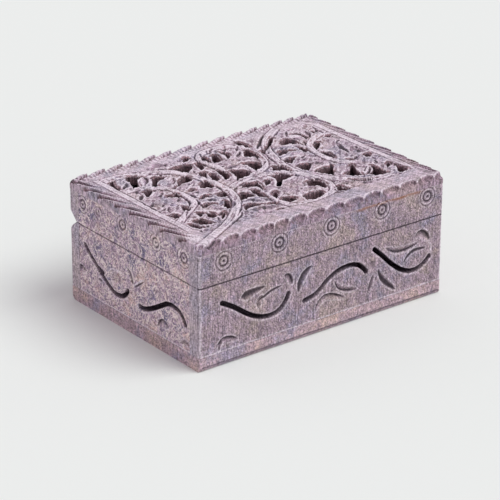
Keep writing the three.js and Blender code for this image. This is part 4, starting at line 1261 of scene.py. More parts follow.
# The lid's marks by tool and ends: width and depth in mm, points as shares of its half sides
LID_MARKS = {
    # Hollows with two points
    (T.GOUGE, E.LENS): (
        (1.7, 0.9, (-0.75, 0.61), (-0.745, 0.63), (-0.742, 0.655)),
        (2.3, 1.2, (-0.535, 0.62), (-0.531, 0.64), (-0.528, 0.665)),
        (2.2, 1.1, (-0.49, 0.555), (-0.48, 0.575), (-0.472, 0.6)),
        (1.8, 0.9, (-0.44, 0.46), (-0.43, 0.48), (-0.425, 0.5)),
        (1.4, 0.7, (-0.86, 0.14), (-0.857, 0.155), (-0.854, 0.17)),
        (2.6, 1.0, (-0.455, -0.13), (-0.443, -0.115), (-0.435, -0.1)),
        (1.5, 0.6, (-0.86, -0.385), (-0.855, -0.375), (-0.85, -0.36)),
        (1.7, 0.6, (-0.855, -0.465), (-0.845, -0.453), (-0.835, -0.44)),
        (2.2, 0.6, (-0.255, -0.745), (-0.243, -0.73), (-0.235, -0.715)),
        (2.0, 1.0, (0.04, 0.72), (0.05, 0.73), (0.06, 0.745)),
        (2.2, 0.6, (0.215, 0.62), (0.225, 0.632), (0.235, 0.65)),
        (1.4, 0.5, (-0.01, 0.265), (0.0, 0.272), (0.01, 0.285)),
        (1.5, 0.5, (0.03, 0.19), (0.037, 0.2), (0.045, 0.215)),
        (1.8, 0.7, (-0.21, -0.085), (-0.203, -0.075), (-0.195, -0.065)),
        (1.5, 0.5, (0.25, 0.165), (0.256, 0.18), (0.262, 0.195)),
        (1.5, 0.5, (0.25, -0.185), (0.258, -0.173), (0.266, -0.16)),
        (2.2, 0.5, (-0.155, -0.75), (-0.147, -0.725), (-0.138, -0.7)),
        (2.4, 0.5, (-0.04, -0.52), (-0.028, -0.51), (-0.018, -0.495)),
        (1.8, 0.6, (0.315, -0.4), (0.325, -0.388), (0.335, -0.375)),
        (2.6, 1.9, (0.328, -0.485), (0.337, -0.505), (0.345, -0.54)),
        (1.4, 0.5, (0.09, -0.485), (0.1, -0.478), (0.11, -0.468)),
        (2.4, 1.5, (0.793, 0.695), (0.8, 0.713), (0.808, 0.735)),
        (2.0, 1.2, (0.822, 0.575), (0.832, 0.585), (0.845, 0.6)),
        (1.6, 0.6, (0.488, 0.005), (0.495, 0.018), (0.5, 0.03)),
        (1.6, 0.6, (0.47, -0.07), (0.48, -0.062), (0.49, -0.055)),
        (1.7, 0.7, (0.872, -0.08), (0.876, -0.065), (0.88, -0.05)),
        (2.6, 1.5, (0.812, -0.305), (0.82, -0.29), (0.828, -0.275)),
        (1.9, 0.9, (0.85, -0.325), (0.856, -0.315), (0.862, -0.3)),
        (1.8, 1.0, (0.573, -0.765), (0.58, -0.755), (0.59, -0.745)),
        (1.9, 0.9, (0.868, -0.74), (0.876, -0.73), (0.885, -0.715)),
    ),
    # Veins and gaps cut with a V
    (T.PARTING, E.LENS): (
        (2.2, 0.9, (-0.465, 0.7), (-0.43, 0.675), (-0.4, 0.64), (-0.385, 0.62)),
        (1.0, 0.4, (-0.27, 0.47), (-0.28, 0.43), (-0.287, 0.38)),
        (2.4, 1.0, (-0.845, 0.18), (-0.82, 0.215), (-0.8, 0.245), (-0.775, 0.28)),
        (1.3, 0.6, (-0.72, 0.148), (-0.69, 0.163), (-0.668, 0.178), (-0.652, 0.22)),
        (1.4, 0.6, (-0.873, 0.035), (-0.868, 0.06), (-0.86, 0.085)),
        (1.6, 0.8, (-0.585, 0.08), (-0.595, 0.0), (-0.597, -0.06), (-0.62, -0.14), (-0.65, -0.2)),
        (1.2, 0.6, (-0.85, -0.14), (-0.815, -0.122), (-0.785, -0.105)),
        (1.8, 0.8, (-0.865, -0.01), (-0.866, -0.06), (-0.865, -0.12)),
        (1.5, 0.7, (-0.795, -0.065), (-0.778, -0.047), (-0.765, -0.015)),
        (1.2, 0.5, (-0.45, 0.205), (-0.435, 0.217), (-0.42, 0.235)),
        (2.4, 0.7, (-0.53, 0.02), (-0.532, -0.03), (-0.53, -0.08)),
        (1.6, 0.9, (-0.555, -0.12), (-0.567, -0.18), (-0.58, -0.24), (-0.592, -0.29)),
        (1.7, 0.5, (-0.31, 0.05), (-0.315, -0.01), (-0.32, -0.08)),
        (0.9, 0.35, (-0.31, -0.13), (-0.335, -0.22), (-0.355, -0.29)),
        (0.9, 0.4, (-0.785, -0.41), (-0.745, -0.335), (-0.7, -0.27), (-0.66, -0.23)),
        (1.4, 0.8, (-0.76, -0.685), (-0.753, -0.665), (-0.742, -0.635)),
        (1.3, 0.6, (-0.63, -0.59), (-0.622, -0.57), (-0.617, -0.55)),
        (1.2, 0.4, (-0.838, -0.74), (-0.832, -0.71), (-0.828, -0.685)),
        (1.3, 0.6, (-0.62, -0.755), (-0.54, -0.695), (-0.48, -0.645), (-0.435, -0.575)),
        (1.7, 0.8, (-0.372, -0.27), (-0.385, -0.34), (-0.402, -0.395), (-0.435, -0.44),
         (-0.46, -0.47)),
        (1.0, 0.4, (-0.345, -0.35), (-0.368, -0.43), (-0.398, -0.49)),
        (1.5, 0.8, (-0.08, 0.69), (-0.073, 0.725), (-0.062, 0.765)),
        (1.1, 0.4, (-0.03, 0.71), (-0.01, 0.75), (0.005, 0.79)),
        (1.9, 1.0, (0.012, 0.755), (0.035, 0.775), (0.06, 0.79)),
        (1.3, 0.7, (-0.155, 0.48), (-0.148, 0.495), (-0.137, 0.515)),
        (0.9, 0.4, (-0.165, 0.6), (-0.15, 0.64), (-0.14, 0.68)),
        (1.7, 0.7, (-0.085, 0.375), (-0.07, 0.388), (-0.05, 0.405)),
        (1.3, 0.5, (-0.155, 0.46), (-0.145, 0.41), (-0.135, 0.35)),
        (1.5, 0.9, (0.105, 0.51), (0.135, 0.54), (0.165, 0.56), (0.185, 0.6)),
        (1.7, 0.9, (0.168, 0.62), (0.19, 0.655), (0.225, 0.705)),
        (2.2, 1.0, (0.3, 0.545), (0.335, 0.59), (0.37, 0.635), (0.42, 0.705), (0.485, 0.785)),
        (1.2, 0.4, (0.245, 0.86), (0.255, 0.82), (0.262, 0.79)),
        (1.5, 0.6, (0.298, 0.38), (0.31, 0.388), (0.328, 0.415)),
        (1.4, 0.5, (-0.025, -0.015), (-0.01, -0.01), (0.003, 0.0)),
        (1.5, 0.7, (0.168, 0.195), (0.183, 0.215), (0.205, 0.245)),
        (1.1, 0.4, (0.275, 0.33), (0.265, 0.27), (0.255, 0.18), (0.245, 0.12)),
        (1.6, 0.5, (0.205, -0.22), (0.217, -0.19), (0.228, -0.165)),
        (1.2, 0.5, (0.247, -0.71), (0.255, -0.695), (0.265, -0.675)),
        (1.8, 0.6, (0.61, 0.64), (0.625, 0.67), (0.645, 0.71), (0.66, 0.735)),
        (1.9, 1.1, (0.598, 0.345), (0.599, 0.38), (0.602, 0.42)),
        (2.2, 0.8, (0.56, 0.365), (0.545, 0.385), (0.53, 0.4)),
        (1.4, 0.6, (0.8, 0.68), (0.8, 0.655), (0.797, 0.63)),
        (1.4, 0.5, (0.853, 0.68), (0.848, 0.62), (0.846, 0.56), (0.845, 0.48)),
        (1.6, 0.7, (0.82, 0.372), (0.84, 0.368), (0.858, 0.36)),
        (1.6, 0.8, (0.43, 0.105), (0.455, 0.125), (0.485, 0.148)),
        (1.6, 0.6, (0.51, 0.13), (0.52, 0.09), (0.528, 0.045)),
        (1.7, 0.8, (0.53, -0.14), (0.52, -0.18), (0.505, -0.23), (0.485, -0.27)),
        (3.0, 0.8, (0.815, 0.25), (0.79, 0.16), (0.772, 0.09), (0.762, 0.02), (0.752, -0.05)),
        (1.5, 0.6, (0.85, 0.25), (0.835, 0.25), (0.815, 0.24)),
        (1.4, 0.5, (0.855, 0.035), (0.85, 0.01), (0.845, -0.02)),
        (1.4, 0.6, (0.86, -0.128), (0.875, -0.115), (0.892, -0.098)),
        (1.4, 0.7, (0.61, -0.545), (0.645, -0.518), (0.675, -0.485), (0.702, -0.43)),
        (0.9, 0.4, (0.625, -0.485), (0.655, -0.455), (0.69, -0.415)),
        (1.2, 0.4, (0.8, -0.33), (0.793, -0.37), (0.785, -0.41)),
    ),
    # Straight lines cut with a V
    (T.PARTING, E.SQUARE): (
        (1.3, 0.5, (-0.863, 0.72), (-0.862, 0.2), (-0.864, -0.2)),
    ),
    # Standing rims that start round
    (T.RIM, E.DROP): (
        (1.6, 0.3, (-0.722, -0.19), (-0.728, -0.21), (-0.73, -0.23)),
    ),
    # Standing rims
    (T.RIM, E.LENS): (
        (1.2, 0.3, (-0.865, 0.72), (-0.868, 0.6), (-0.862, 0.48)),
        (1.3, 0.3, (-0.735, 0.66), (-0.724, 0.6), (-0.735, 0.54), (-0.765, 0.45)),
        (1.8, 0.4, (-0.6, 0.615), (-0.645, 0.593), (-0.677, 0.555), (-0.7, 0.46)),
        (1.4, 0.3, (-0.57, 0.61), (-0.585, 0.55), (-0.61, 0.48), (-0.65, 0.4)),
        (1.2, 0.3, (-0.535, 0.45), (-0.5, 0.42), (-0.475, 0.445), (-0.455, 0.46)),
        (1.2, 0.3, (-0.445, 0.43), (-0.465, 0.37), (-0.49, 0.33), (-0.52, 0.28)),
        (2.2, 0.3, (-0.4, 0.57), (-0.378, 0.53), (-0.365, 0.48), (-0.35, 0.42)),
        (1.4, 0.3, (-0.762, 0.32), (-0.775, 0.26), (-0.777, 0.21)),
        (1.3, 0.3, (-0.775, 0.198), (-0.74, 0.212), (-0.7, 0.25), (-0.68, 0.28)),
        (1.1, 0.3, (-0.705, 0.115), (-0.693, 0.125), (-0.682, 0.14)),
        (1.5, 0.3, (-0.575, -0.02), (-0.58, -0.1), (-0.6, -0.16), (-0.645, -0.225)),
        (1.5, 0.4, (-0.875, -0.13), (-0.84, -0.112), (-0.795, -0.085)),
        (1.3, 0.3, (-0.46, 0.175), (-0.43, 0.195), (-0.405, 0.225)),
        (1.3, 0.3, (-0.435, 0.08), (-0.42, 0.107), (-0.408, 0.135)),
        (2.8, 0.4, (-0.51, -0.01), (-0.495, 0.0), (-0.48, 0.005)),
        (2.2, 0.3, (-0.585, 0.02), (-0.585, -0.01), (-0.582, -0.04)),
        (2.0, 0.3, (-0.52, -0.08), (-0.515, -0.07), (-0.505, -0.055)),
        (1.5, 0.3, (-0.5, -0.155), (-0.465, -0.15), (-0.435, -0.175)),
        (2.4, 0.2, (-0.288, 0.27), (-0.29, 0.13), (-0.285, 0.02)),
        (1.6, 0.3, (-0.84, -0.39), (-0.825, -0.378), (-0.81, -0.37)),
        (1.6, 0.3, (-0.845, -0.425), (-0.83, -0.41), (-0.815, -0.4)),
        (1.3, 0.3, (-0.8, -0.39), (-0.76, -0.32), (-0.71, -0.255), (-0.655, -0.175)),
        (1.7, 0.4, (-0.722, -0.485), (-0.715, -0.44), (-0.708, -0.39), (-0.7, -0.34)),
        (1.7, 0.3, (-0.622, -0.29), (-0.615, -0.36), (-0.598, -0.43)),
        (1.5, 0.3, (-0.792, -0.51), (-0.78, -0.56), (-0.776, -0.62)),
        (1.5, 0.5, (-0.68, -0.785), (-0.6, -0.73), (-0.53, -0.665), (-0.485, -0.62),
         (-0.44, -0.56)),
        (1.1, 0.3, (-0.36, -0.33), (-0.38, -0.39), (-0.42, -0.46), (-0.47, -0.52)),
        (1.2, 0.3, (-0.335, -0.33), (-0.36, -0.41), (-0.39, -0.47), (-0.405, -0.5)),
        (1.4, 0.3, (-0.295, -0.365), (-0.265, -0.375), (-0.23, -0.385)),
        (2.0, 0.3, (-0.4, -0.575), (-0.36, -0.568), (-0.32, -0.565)),
        (1.4, 0.2, (-0.155, 0.79), (-0.148, 0.805), (-0.14, 0.82)),
        (1.2, 0.2, (-0.065, 0.715), (-0.058, 0.74), (-0.05, 0.76)),
        (1.7, 0.4, (-0.173, 0.34), (-0.178, 0.27), (-0.19, 0.2), (-0.205, 0.13)),
        (1.4, 0.3, (-0.122, 0.66), (-0.123, 0.57), (-0.11, 0.49)),
        (2.2, 0.3, (-0.09, 0.48), (-0.1, 0.4), (-0.103, 0.32), (-0.107, 0.24)),
        (1.9, 0.3, (0.045, 0.66), (0.046, 0.58), (0.025, 0.49)),
        (2.6, 0.3, (0.238, 0.74), (0.246, 0.69), (0.24, 0.62)),
        (1.4, 0.3, (0.2, 0.61), (0.18, 0.555), (0.155, 0.5), (0.143, 0.46)),
        (1.8, 0.3, (0.15, 0.435), (0.17, 0.41), (0.195, 0.385)),
        (1.2, 0.3, (0.3, 0.85), (0.303, 0.82), (0.308, 0.79)),
        (1.5, 0.4, (-0.105, 0.2), (-0.113, 0.15), (-0.14, 0.09), (-0.15, 0.06)),
        (2.0, 0.3, (0.048, 0.33), (0.06, 0.25), (0.053, 0.15), (0.05, 0.11)),
        (1.8, 0.3, (-0.045, 0.028), (-0.03, 0.04), (-0.015, 0.05)),
        (2.0, 0.3, (-0.105, -0.055), (-0.095, -0.045), (-0.08, -0.035)),
        (2.4, 0.5, (-0.165, -0.185), (-0.13, -0.19), (-0.116, -0.22), (-0.118, -0.27),
         (-0.128, -0.33)),
        (1.8, 0.3, (0.055, -0.06), (0.048, -0.1), (0.03, -0.14)),
        (1.8, 0.4, (0.062, -0.15), (0.04, -0.2), (0.015, -0.24), (-0.01, -0.28)),
        (1.3, 0.3, (-0.055, -0.1), (-0.06, -0.15), (-0.072, -0.21)),
        (1.4, 0.3, (0.16, 0.2), (0.172, 0.235), (0.19, 0.27)),
        (1.7, 0.3, (0.31, 0.193), (0.33, 0.203), (0.35, 0.22)),
        (1.7, 0.3, (0.35, 0.262), (0.37, 0.268), (0.395, 0.28)),
        (2.8, 0.4, (0.15, -0.025), (0.185, -0.05), (0.2, -0.1), (0.202, -0.14)),
        (2.0, 0.3, (0.08, -0.235), (0.11, -0.222), (0.15, -0.218), (0.19, -0.21)),
        (1.5, 0.2, (0.245, -0.2), (0.245, -0.225), (0.245, -0.255)),
        (1.4, 0.4, (-0.198, -0.26), (-0.197, -0.32), (-0.205, -0.37)),
        (2.0, 0.3, (-0.155, -0.5), (-0.152, -0.55), (-0.14, -0.59)),
        (2.0, 0.3, (-0.065, -0.51), (-0.055, -0.5), (-0.045, -0.485)),
        (1.9, 0.4, (0.04, -0.52), (0.03, -0.57), (0.017, -0.64)),
        (1.4, 0.3, (-0.045, -0.64), (-0.032, -0.62), (-0.02, -0.59)),
        (1.6, 0.3, (0.02, -0.765), (0.08, -0.772), (0.14, -0.757), (0.18, -0.72)),
        (1.9, 0.3, (0.128, -0.475), (0.14, -0.468), (0.155, -0.46)),
        (1.5, 0.4, (0.187, -0.53), (0.195, -0.57), (0.205, -0.61)),
        (1.6, 0.3, (0.165, -0.71), (0.175, -0.695), (0.185, -0.68)),
        (2.8, 0.4, (0.335, -0.44), (0.345, -0.45), (0.352, -0.47)),
        (1.4, 0.3, (0.294, -0.42), (0.29, -0.48), (0.275, -0.55)),
        (1.5, 0.4, (0.337, -0.62), (0.34, -0.665), (0.362, -0.71)),
        (1.3, 0.3, (0.44, 0.575), (0.47, 0.61), (0.505, 0.655)),
        (1.6, 0.4, (0.668, 0.68), (0.675, 0.7), (0.682, 0.73)),
        (1.5, 0.4, (0.695, 0.705), (0.712, 0.72), (0.735, 0.74)),
        (4.4, 0.4, (0.61, 0.575), (0.635, 0.595), (0.66, 0.585), (0.672, 0.55)),
        (2.4, 0.3, (0.475, 0.455), (0.51, 0.448), (0.545, 0.425), (0.56, 0.4)),
        (2.0, 0.3, (0.575, 0.42), (0.585, 0.34), (0.583, 0.25), (0.578, 0.19)),
        (1.5, 0.3, (0.79, 0.66), (0.78, 0.59), (0.778, 0.52)),
        (1.6, 0.4, (0.775, 0.42), (0.81, 0.445), (0.86, 0.475)),
        (2.8, 0.4, (0.578, 0.2), (0.573, 0.1), (0.568, 0.0), (0.573, -0.09), (0.585, -0.15)),
        (1.5, 0.5, (0.655, 0.215), (0.68, 0.232), (0.7, 0.252)),
        (2.4, 0.3, (0.643, 0.125), (0.652, 0.115), (0.657, 0.095)),
        (1.4, 0.3, (0.43, 0.16), (0.445, 0.17), (0.46, 0.18)),
        (1.6, 0.3, (0.815, 0.23), (0.8, 0.195), (0.787, 0.16)),
        (1.5, 0.3, (0.62, -0.37), (0.605, -0.43), (0.585, -0.5), (0.56, -0.56)),
        (1.5, 0.4, (0.62, -0.56), (0.66, -0.525), (0.688, -0.475), (0.705, -0.425)),
        (1.0, 0.2, (0.62, -0.5), (0.65, -0.475), (0.685, -0.43)),
        (1.6, 0.3, (0.5, -0.595), (0.54, -0.64), (0.6, -0.67)),
        (1.4, 0.3, (0.475, -0.49), (0.5, -0.53), (0.53, -0.565)),
        (1.6, 0.2, (0.425, -0.4), (0.435, -0.42), (0.44, -0.45)),
        (1.5, 0.3, (0.748, -0.5), (0.752, -0.56), (0.756, -0.62)),
        (1.4, 0.3, (0.845, -0.55), (0.825, -0.61), (0.8, -0.66)),
        (7.0, 0.1, (-0.945, -0.7), (-0.935, -0.82), (-0.92, -0.96)),
    ),
    # Leaves that are deepest on their left
    (T.SLANT_LEFT, E.LENS): (
        (3.2, 1.5, (-0.825, 0.5), (-0.79, 0.52), (-0.76, 0.54), (-0.735, 0.6)),
        (3.8, 1.1, (-0.8, -0.21), (-0.785, -0.17), (-0.77, -0.14), (-0.76, -0.1)),
        (3.0, 0.9, (-0.585, -0.53), (-0.555, -0.49), (-0.525, -0.465)),
        (2.6, 1.2, (-0.137, -0.51), (-0.127, -0.56), (-0.11, -0.62), (-0.085, -0.665)),
        (3.0, 1.4, (0.145, -0.44), (0.165, -0.43), (0.187, -0.455), (0.205, -0.5)),
        (3.6, 1.4, (0.7, -0.24), (0.72, -0.212), (0.745, -0.185), (0.772, -0.165)),
    ),
    # Leaves that are deepest on their right
    (T.SLANT_RIGHT, E.LENS): (
        (3.2, 1.6, (-0.665, 0.46), (-0.63, 0.52), (-0.6, 0.58), (-0.587, 0.63)),
        (2.8, 1.5, (-0.52, 0.31), (-0.49, 0.365), (-0.47, 0.4), (-0.452, 0.44)),
        (3.4, 1.1, (0.095, 0.68), (0.12, 0.745), (0.158, 0.815)),
        (2.6, 1.2, (0.6, 0.355), (0.622, 0.395), (0.645, 0.45)),
        (4.2, 1.3, (0.712, 0.49), (0.735, 0.545), (0.755, 0.595), (0.77, 0.65)),
    ),
    # Patches of painted shade
    (T.SMUDGE, E.LENS): (
        (3.4, 0.0, (-0.76, 0.74), (-0.735, 0.745), (-0.71, 0.75)),
        (3.0, 0.0, (-0.82, 0.37), (-0.78, 0.36), (-0.74, 0.39)),
        (2.4, 0.0, (-0.51, 0.59), (-0.49, 0.6), (-0.475, 0.615)),
        (5.0, 0.0, (-0.45, 0.77), (-0.42, 0.765), (-0.38, 0.77)),
        (3.6, 0.0, (-0.4, 0.72), (-0.38, 0.73), (-0.35, 0.745)),
        (4.4, 0.0, (-0.86, 0.0), (-0.83, 0.01), (-0.8, 0.03)),
        (4.2, 0.0, (-0.75, 0.15), (-0.7, 0.13), (-0.67, 0.1)),
        (3.0, 0.0, (-0.665, -0.05), (-0.65, -0.035), (-0.635, -0.01)),
        (3.6, 0.0, (-0.585, 0.225), (-0.57, 0.24), (-0.555, 0.27)),
        (3.2, 0.0, (-0.5, 0.02), (-0.485, 0.027), (-0.46, 0.04)),
        (4.6, 0.0, (-0.485, -0.22), (-0.475, -0.195), (-0.46, -0.17)),
        (4.2, 0.0, (-0.29, -0.42), (-0.27, -0.41), (-0.245, -0.4)),
        (4.2, 0.0, (-0.28, -0.47), (-0.26, -0.46), (-0.235, -0.45)),
        (4.4, 0.0, (-0.305, -0.645), (-0.28, -0.63), (-0.25, -0.62)),
        (4.6, 0.0, (-0.37, -0.63), (-0.345, -0.62), (-0.32, -0.61)),
        (2.4, 0.0, (-0.235, 0.71), (-0.225, 0.75), (-0.205, 0.79)),
        (5.0, 0.0, (-0.06, 0.3), (-0.02, 0.325), (0.03, 0.33)),
        (4.6, 0.0, (-0.265, -0.68), (-0.24, -0.66), (-0.215, -0.63)),
        (2.8, 0.0, (0.29, -0.755), (0.315, -0.765), (0.345, -0.765)),
        (5.0, 0.0, (0.6, 0.49), (0.62, 0.53), (0.645, 0.555)),
        (3.4, 0.0, (0.42, 0.41), (0.45, 0.4), (0.475, 0.415)),
        (3.4, 0.0, (0.865, 0.79), (0.882, 0.8), (0.9, 0.815)),
        (3.8, 0.0, (0.41, 0.05), (0.43, 0.06), (0.45, 0.075)),
        (4.6, 0.0, (0.445, -0.065), (0.48, -0.062), (0.5, -0.04)),
        (3.6, 0.0, (0.505, -0.07), (0.525, -0.062), (0.54, -0.08)),
        (3.0, 0.0, (0.64, 0.02), (0.648, 0.0), (0.65, -0.03)),
        (5.6, 0.0, (0.8, -0.07), (0.825, -0.06), (0.855, -0.075)),
        (3.6, 0.0, (0.645, -0.33), (0.663, -0.32), (0.685, -0.315)),
        (3.0, 0.0, (0.36, -0.49), (0.37, -0.48), (0.385, -0.465)),
        (3.2, 0.0, (0.475, -0.735), (0.49, -0.722), (0.51, -0.71)),
        (4.4, 0.0, (0.35, -0.62), (0.375, -0.625), (0.4, -0.64)),
        (2.4, 0.0, (0.855, -0.47), (0.856, -0.53), (0.856, -0.57)),
        (2.4, 0.0, (0.888, -0.48), (0.892, -0.6), (0.89, -0.72)),
    ),
}


class Lobe(Enum):
    """How a rope's lobe lies between two notches."""

    FALLING = "falls off along the edge, up to the next notch"
    RISING = "rises along the edge, up to the next notch"
    SCOOP = "cut away by a gouge held upright, so that teeth are left at the notches"


@dataclass(frozen=True)
class RopeEdge:
    """Rope twist carved along one edge of the lid: lobes between slanted notches, with fine
    strands scored across the band.

    Each notch runs in from the edge along the slant. A falling or rising lobe is a power, fall,
    of the share of the way to the next notch, and dies away at the reach. A scoop is a quarter of
    an egg, as deep and as far in as its fields say. The strands are evenly spaced thin grooves.
    The rope runs over the span alone. Lengths are in mm. The notches, the strands' grooves and
    the scoops are darkened with painted shade, and the strands' crests and the scoops' lips carry
    painted highlights.
    """

    lobe: Lobe
    along: tuple[float, float]
    outward: tuple[float, float]
    edge: float
    notches: tuple[float, ...]
    slant_degrees: float
    reach: float
    depth: float
    band: float = 4.0
    notch_shade: float = 0.0
    notch_width: float = 0.5
    strand_pitch: float = 2.0
    strand_slant_degrees: float = 0.0
    strand_depth: float = 0.0
    fall: float = 1.3
    span: tuple[float, float] = (-80.0, 80.0)
    sway_mm: float = 0.5
    sway_length: float = 13.0
    notches_past: int = 6
    band_fade_share: float = 0.75
    reach_power: float = 0.6
    notch_depth: float = 0.3
    strand_groove: Bell = Bell(0.5, 0.2)
    strand_shade: float = 2.4
    strand_crest: Bell = Bell(0.1, 0.2, 0.6)
    scoop_share: float = 0.86
    scoop_wall: float = 0.12
    scoop_sink: float = 0.5
    scoop_shade: float = 0.42
    scoop_line: Bell = Bell(0.04, 0.08, 0.6)
    scoop_lip: Bell = Bell(-0.22, 0.15, 0.4)

    def scoop(self, phase: np.ndarray, inward: np.ndarray) -> tuple[np.ndarray, np.ndarray]:
        """Depth, and painted light and shade, of the scoops.

        Args:
            phase: share of the way from one notch to the next.
            inward: distance in from the edge, in mm.

        Returns:
            Depth in mm, and painted light and shade from -1 to 1.
        """
        egg = 1 - ((2 * phase - 1) / self.scoop_share) ** 2 - (inward / self.reach) ** 2
        within = ramp(egg, 0.0, self.scoop_wall)
        depth = self.depth * np.sqrt(np.clip(egg, 0, 1)) + self.scoop_sink * within
        # Painted highlight on the lip; painted shade inside the scoop and along its line
        rub = self.scoop_lip.at(egg) - self.scoop_shade * within - self.scoop_line.at(egg)
        return depth, rub

    def lobes(self, phase: np.ndarray, pitch: float, along: np.ndarray,
              inward: np.ndarray) -> tuple[np.ndarray, np.ndarray]:
        """Depth, and painted light and shade, of the lobes, the notches between them and the
        strands.

        Args:
            phase: share of the way from one notch to the next.
            pitch: mean distance between notches, in mm.
            along: distance along the edge, in mm.
            inward: distance in from the edge, in mm.

        Returns:
            Depth in mm, and painted light and shade from -1 to 1.
        """
        fade = np.clip(1 - inward / self.reach, 0, 1) ** self.reach_power
        across_band = 1 - ramp(inward, self.band * self.band_fade_share, self.band)
        lobe = (phase if self.lobe is Lobe.FALLING else 1 - phase) ** self.fall
        gap = np.minimum(phase, 1 - phase) * pitch
        # Painted shadow in the notches
        notch = self.notch_shade * Bell(0.0, self.notch_width).at(gap) * across_band
        slant = math.tan(math.radians(self.strand_slant_degrees))
        strand = (along - inward * slant) / self.strand_pitch % 1
        score = self.strand_depth * self.strand_groove.at(strand) * across_band
        # Painted highlight on the strands' crests
        crest = self.strand_crest.at(strand) * across_band
        depth = self.depth * fade * lobe + self.notch_depth * notch + score
        # Painted shade in the strands' grooves
        return depth, crest - notch - self.strand_shade * score

    def cut(self, points: np.ndarray) -> tuple[np.ndarray, np.ndarray]:
        """Depth, and painted light and shade, of the rope at each place.

        Args:
            points: points of the lid's face, in mm.

        Returns:
            Depth in mm, and painted light and shade from -1 to 1.
        """
        inward = self.edge - points @ np.array(self.outward)
        sway = self.sway_mm * hand_wobble(points, self.sway_length, self.edge + self.outward[0])
        along = points @ np.array(self.along) + sway
        place = along - inward * math.tan(math.radians(self.slant_degrees))
        marks = np.array(self.notches)
        pitch = np.diff(marks).mean()
        past = np.arange(1, self.notches_past + 1) * pitch
        marks = np.concatenate([marks[0] - past[::-1], marks, marks[-1] + past])
        phase = np.interp(place, marks, np.arange(len(marks))) % 1
        low, high = self.span
        present = ramp(along, low - 1, low + 1) * (1 - ramp(along, high - 1, high + 1))
        depth, rub = (self.scoop(phase, inward) if self.lobe is Lobe.SCOOP
                      else self.lobes(phase, pitch, along, inward))
        return depth * present, rub * present


# Sub-assemblies

@dataclass(frozen=True)
class SideFace:
    """What the faces of walls and rails share: slow swells of the sawn stone, upright ends, a fine
    bevel along the glued edge, and one along the box's mouth, where dirt has settled.
    """

    end_radius: float
    end_rub: float
    mouth_dust: float
    swell: float = 0.08
    end_rub_fade: tuple[float, float] = (0.2, 1.5)
    glue_bevel: float = 0.06
    glue_width: float = 0.45
    mouth_bevel: float = 0.12
    mouth_width: float = 0.35
    mouth_dust_width: float = 0.42

    def ease(self, relief: Relief, across: np.ndarray, glued: np.ndarray, mouth: np.ndarray,
             wobble: np.ndarray) -> None:
        """Adds the swells and eases the edges.

        Args:
            relief: the face's relief.
            across: place along the face, from its middle, in mm.
            glued: distance from the glued edge, in mm.
            mouth: distance from the edge at the box's mouth, in mm.
            wobble: the face's slow swells, from -1 to 1.
        """
        end = np.abs(across).max() - np.abs(across)
        relief.depth += self.swell * (1 + wobble)
        relief.depth += arris(end, self.end_radius)
        relief.depth += self.glue_bevel * (1 - ramp(glued, 0, self.glue_width))
        relief.depth += self.mouth_bevel * (1 - ramp(mouth, 0, self.mouth_width))
        relief.rub += self.end_rub * (1 - ramp(end, *self.end_rub_fade))
        relief.rub -= self.mouth_dust * (1 - ramp(mouth, 0, self.mouth_dust_width))


# A long slab's ends are round and rubbed, and a short slab's are glued between the long ones
LONG_SIDE = SideFace(end_radius=1.2, end_rub=0.6, mouth_dust=1.6)
SHORT_SIDE = SideFace(end_radius=0.06, end_rub=0.0, mouth_dust=0.6)
# Painted light: the end strips of a long slab are painted paler
LONG_SETTINGS = {"side_painted_lights": (0.3, 0.0)}


@dataclass(frozen=True)
class HingePockets:
    """Pockets for the hinges in the back face: cylinders about the hinge axis."""

    middles: tuple[float, ...] = (-46.0, 46.0)
    height: float = 43.4
    inset: float = 4.0
    radius: float = 2.8
    half_width: float = 3.0

    def sink(self, relief: Relief, places: FacePlaces) -> None:
        """Deepens the face round each hinge."""
        across, up = places.points.T
        rise = np.clip(1 - ((up - self.height) / self.radius) ** 2, 0, 1)
        bore = (self.inset + self.radius * np.sqrt(rise)) * (rise > 0)
        for middle in self.middles:
            within = np.abs(across - middle) < self.half_width
            relief.depth = np.where(within, np.maximum(relief.depth, bore), relief.depth)


def build_body(body: str, slabs: tuple[tuple, ...], wires: tuple[str, ...],
               stones: dict[str, bpy.types.Material], wire: bpy.types.Material) -> None:
    """Builds the slabs and hinge wires of one body.

    Args:
        body: the body that they ride on.
        slabs: each slab's node, slot, side of the box, carving and other settings.
        wires: the wires' nodes.
        stones: the finished stones, by slot.
        wire: the hinge wire's material.
    """
    for node, slot, facing, carve, settings in slabs:
        CarvedSlab(node, body, slot, facing, stones[slot], carve, **settings).build()
    for node in wires:
        wire_piece(node, body, wire)


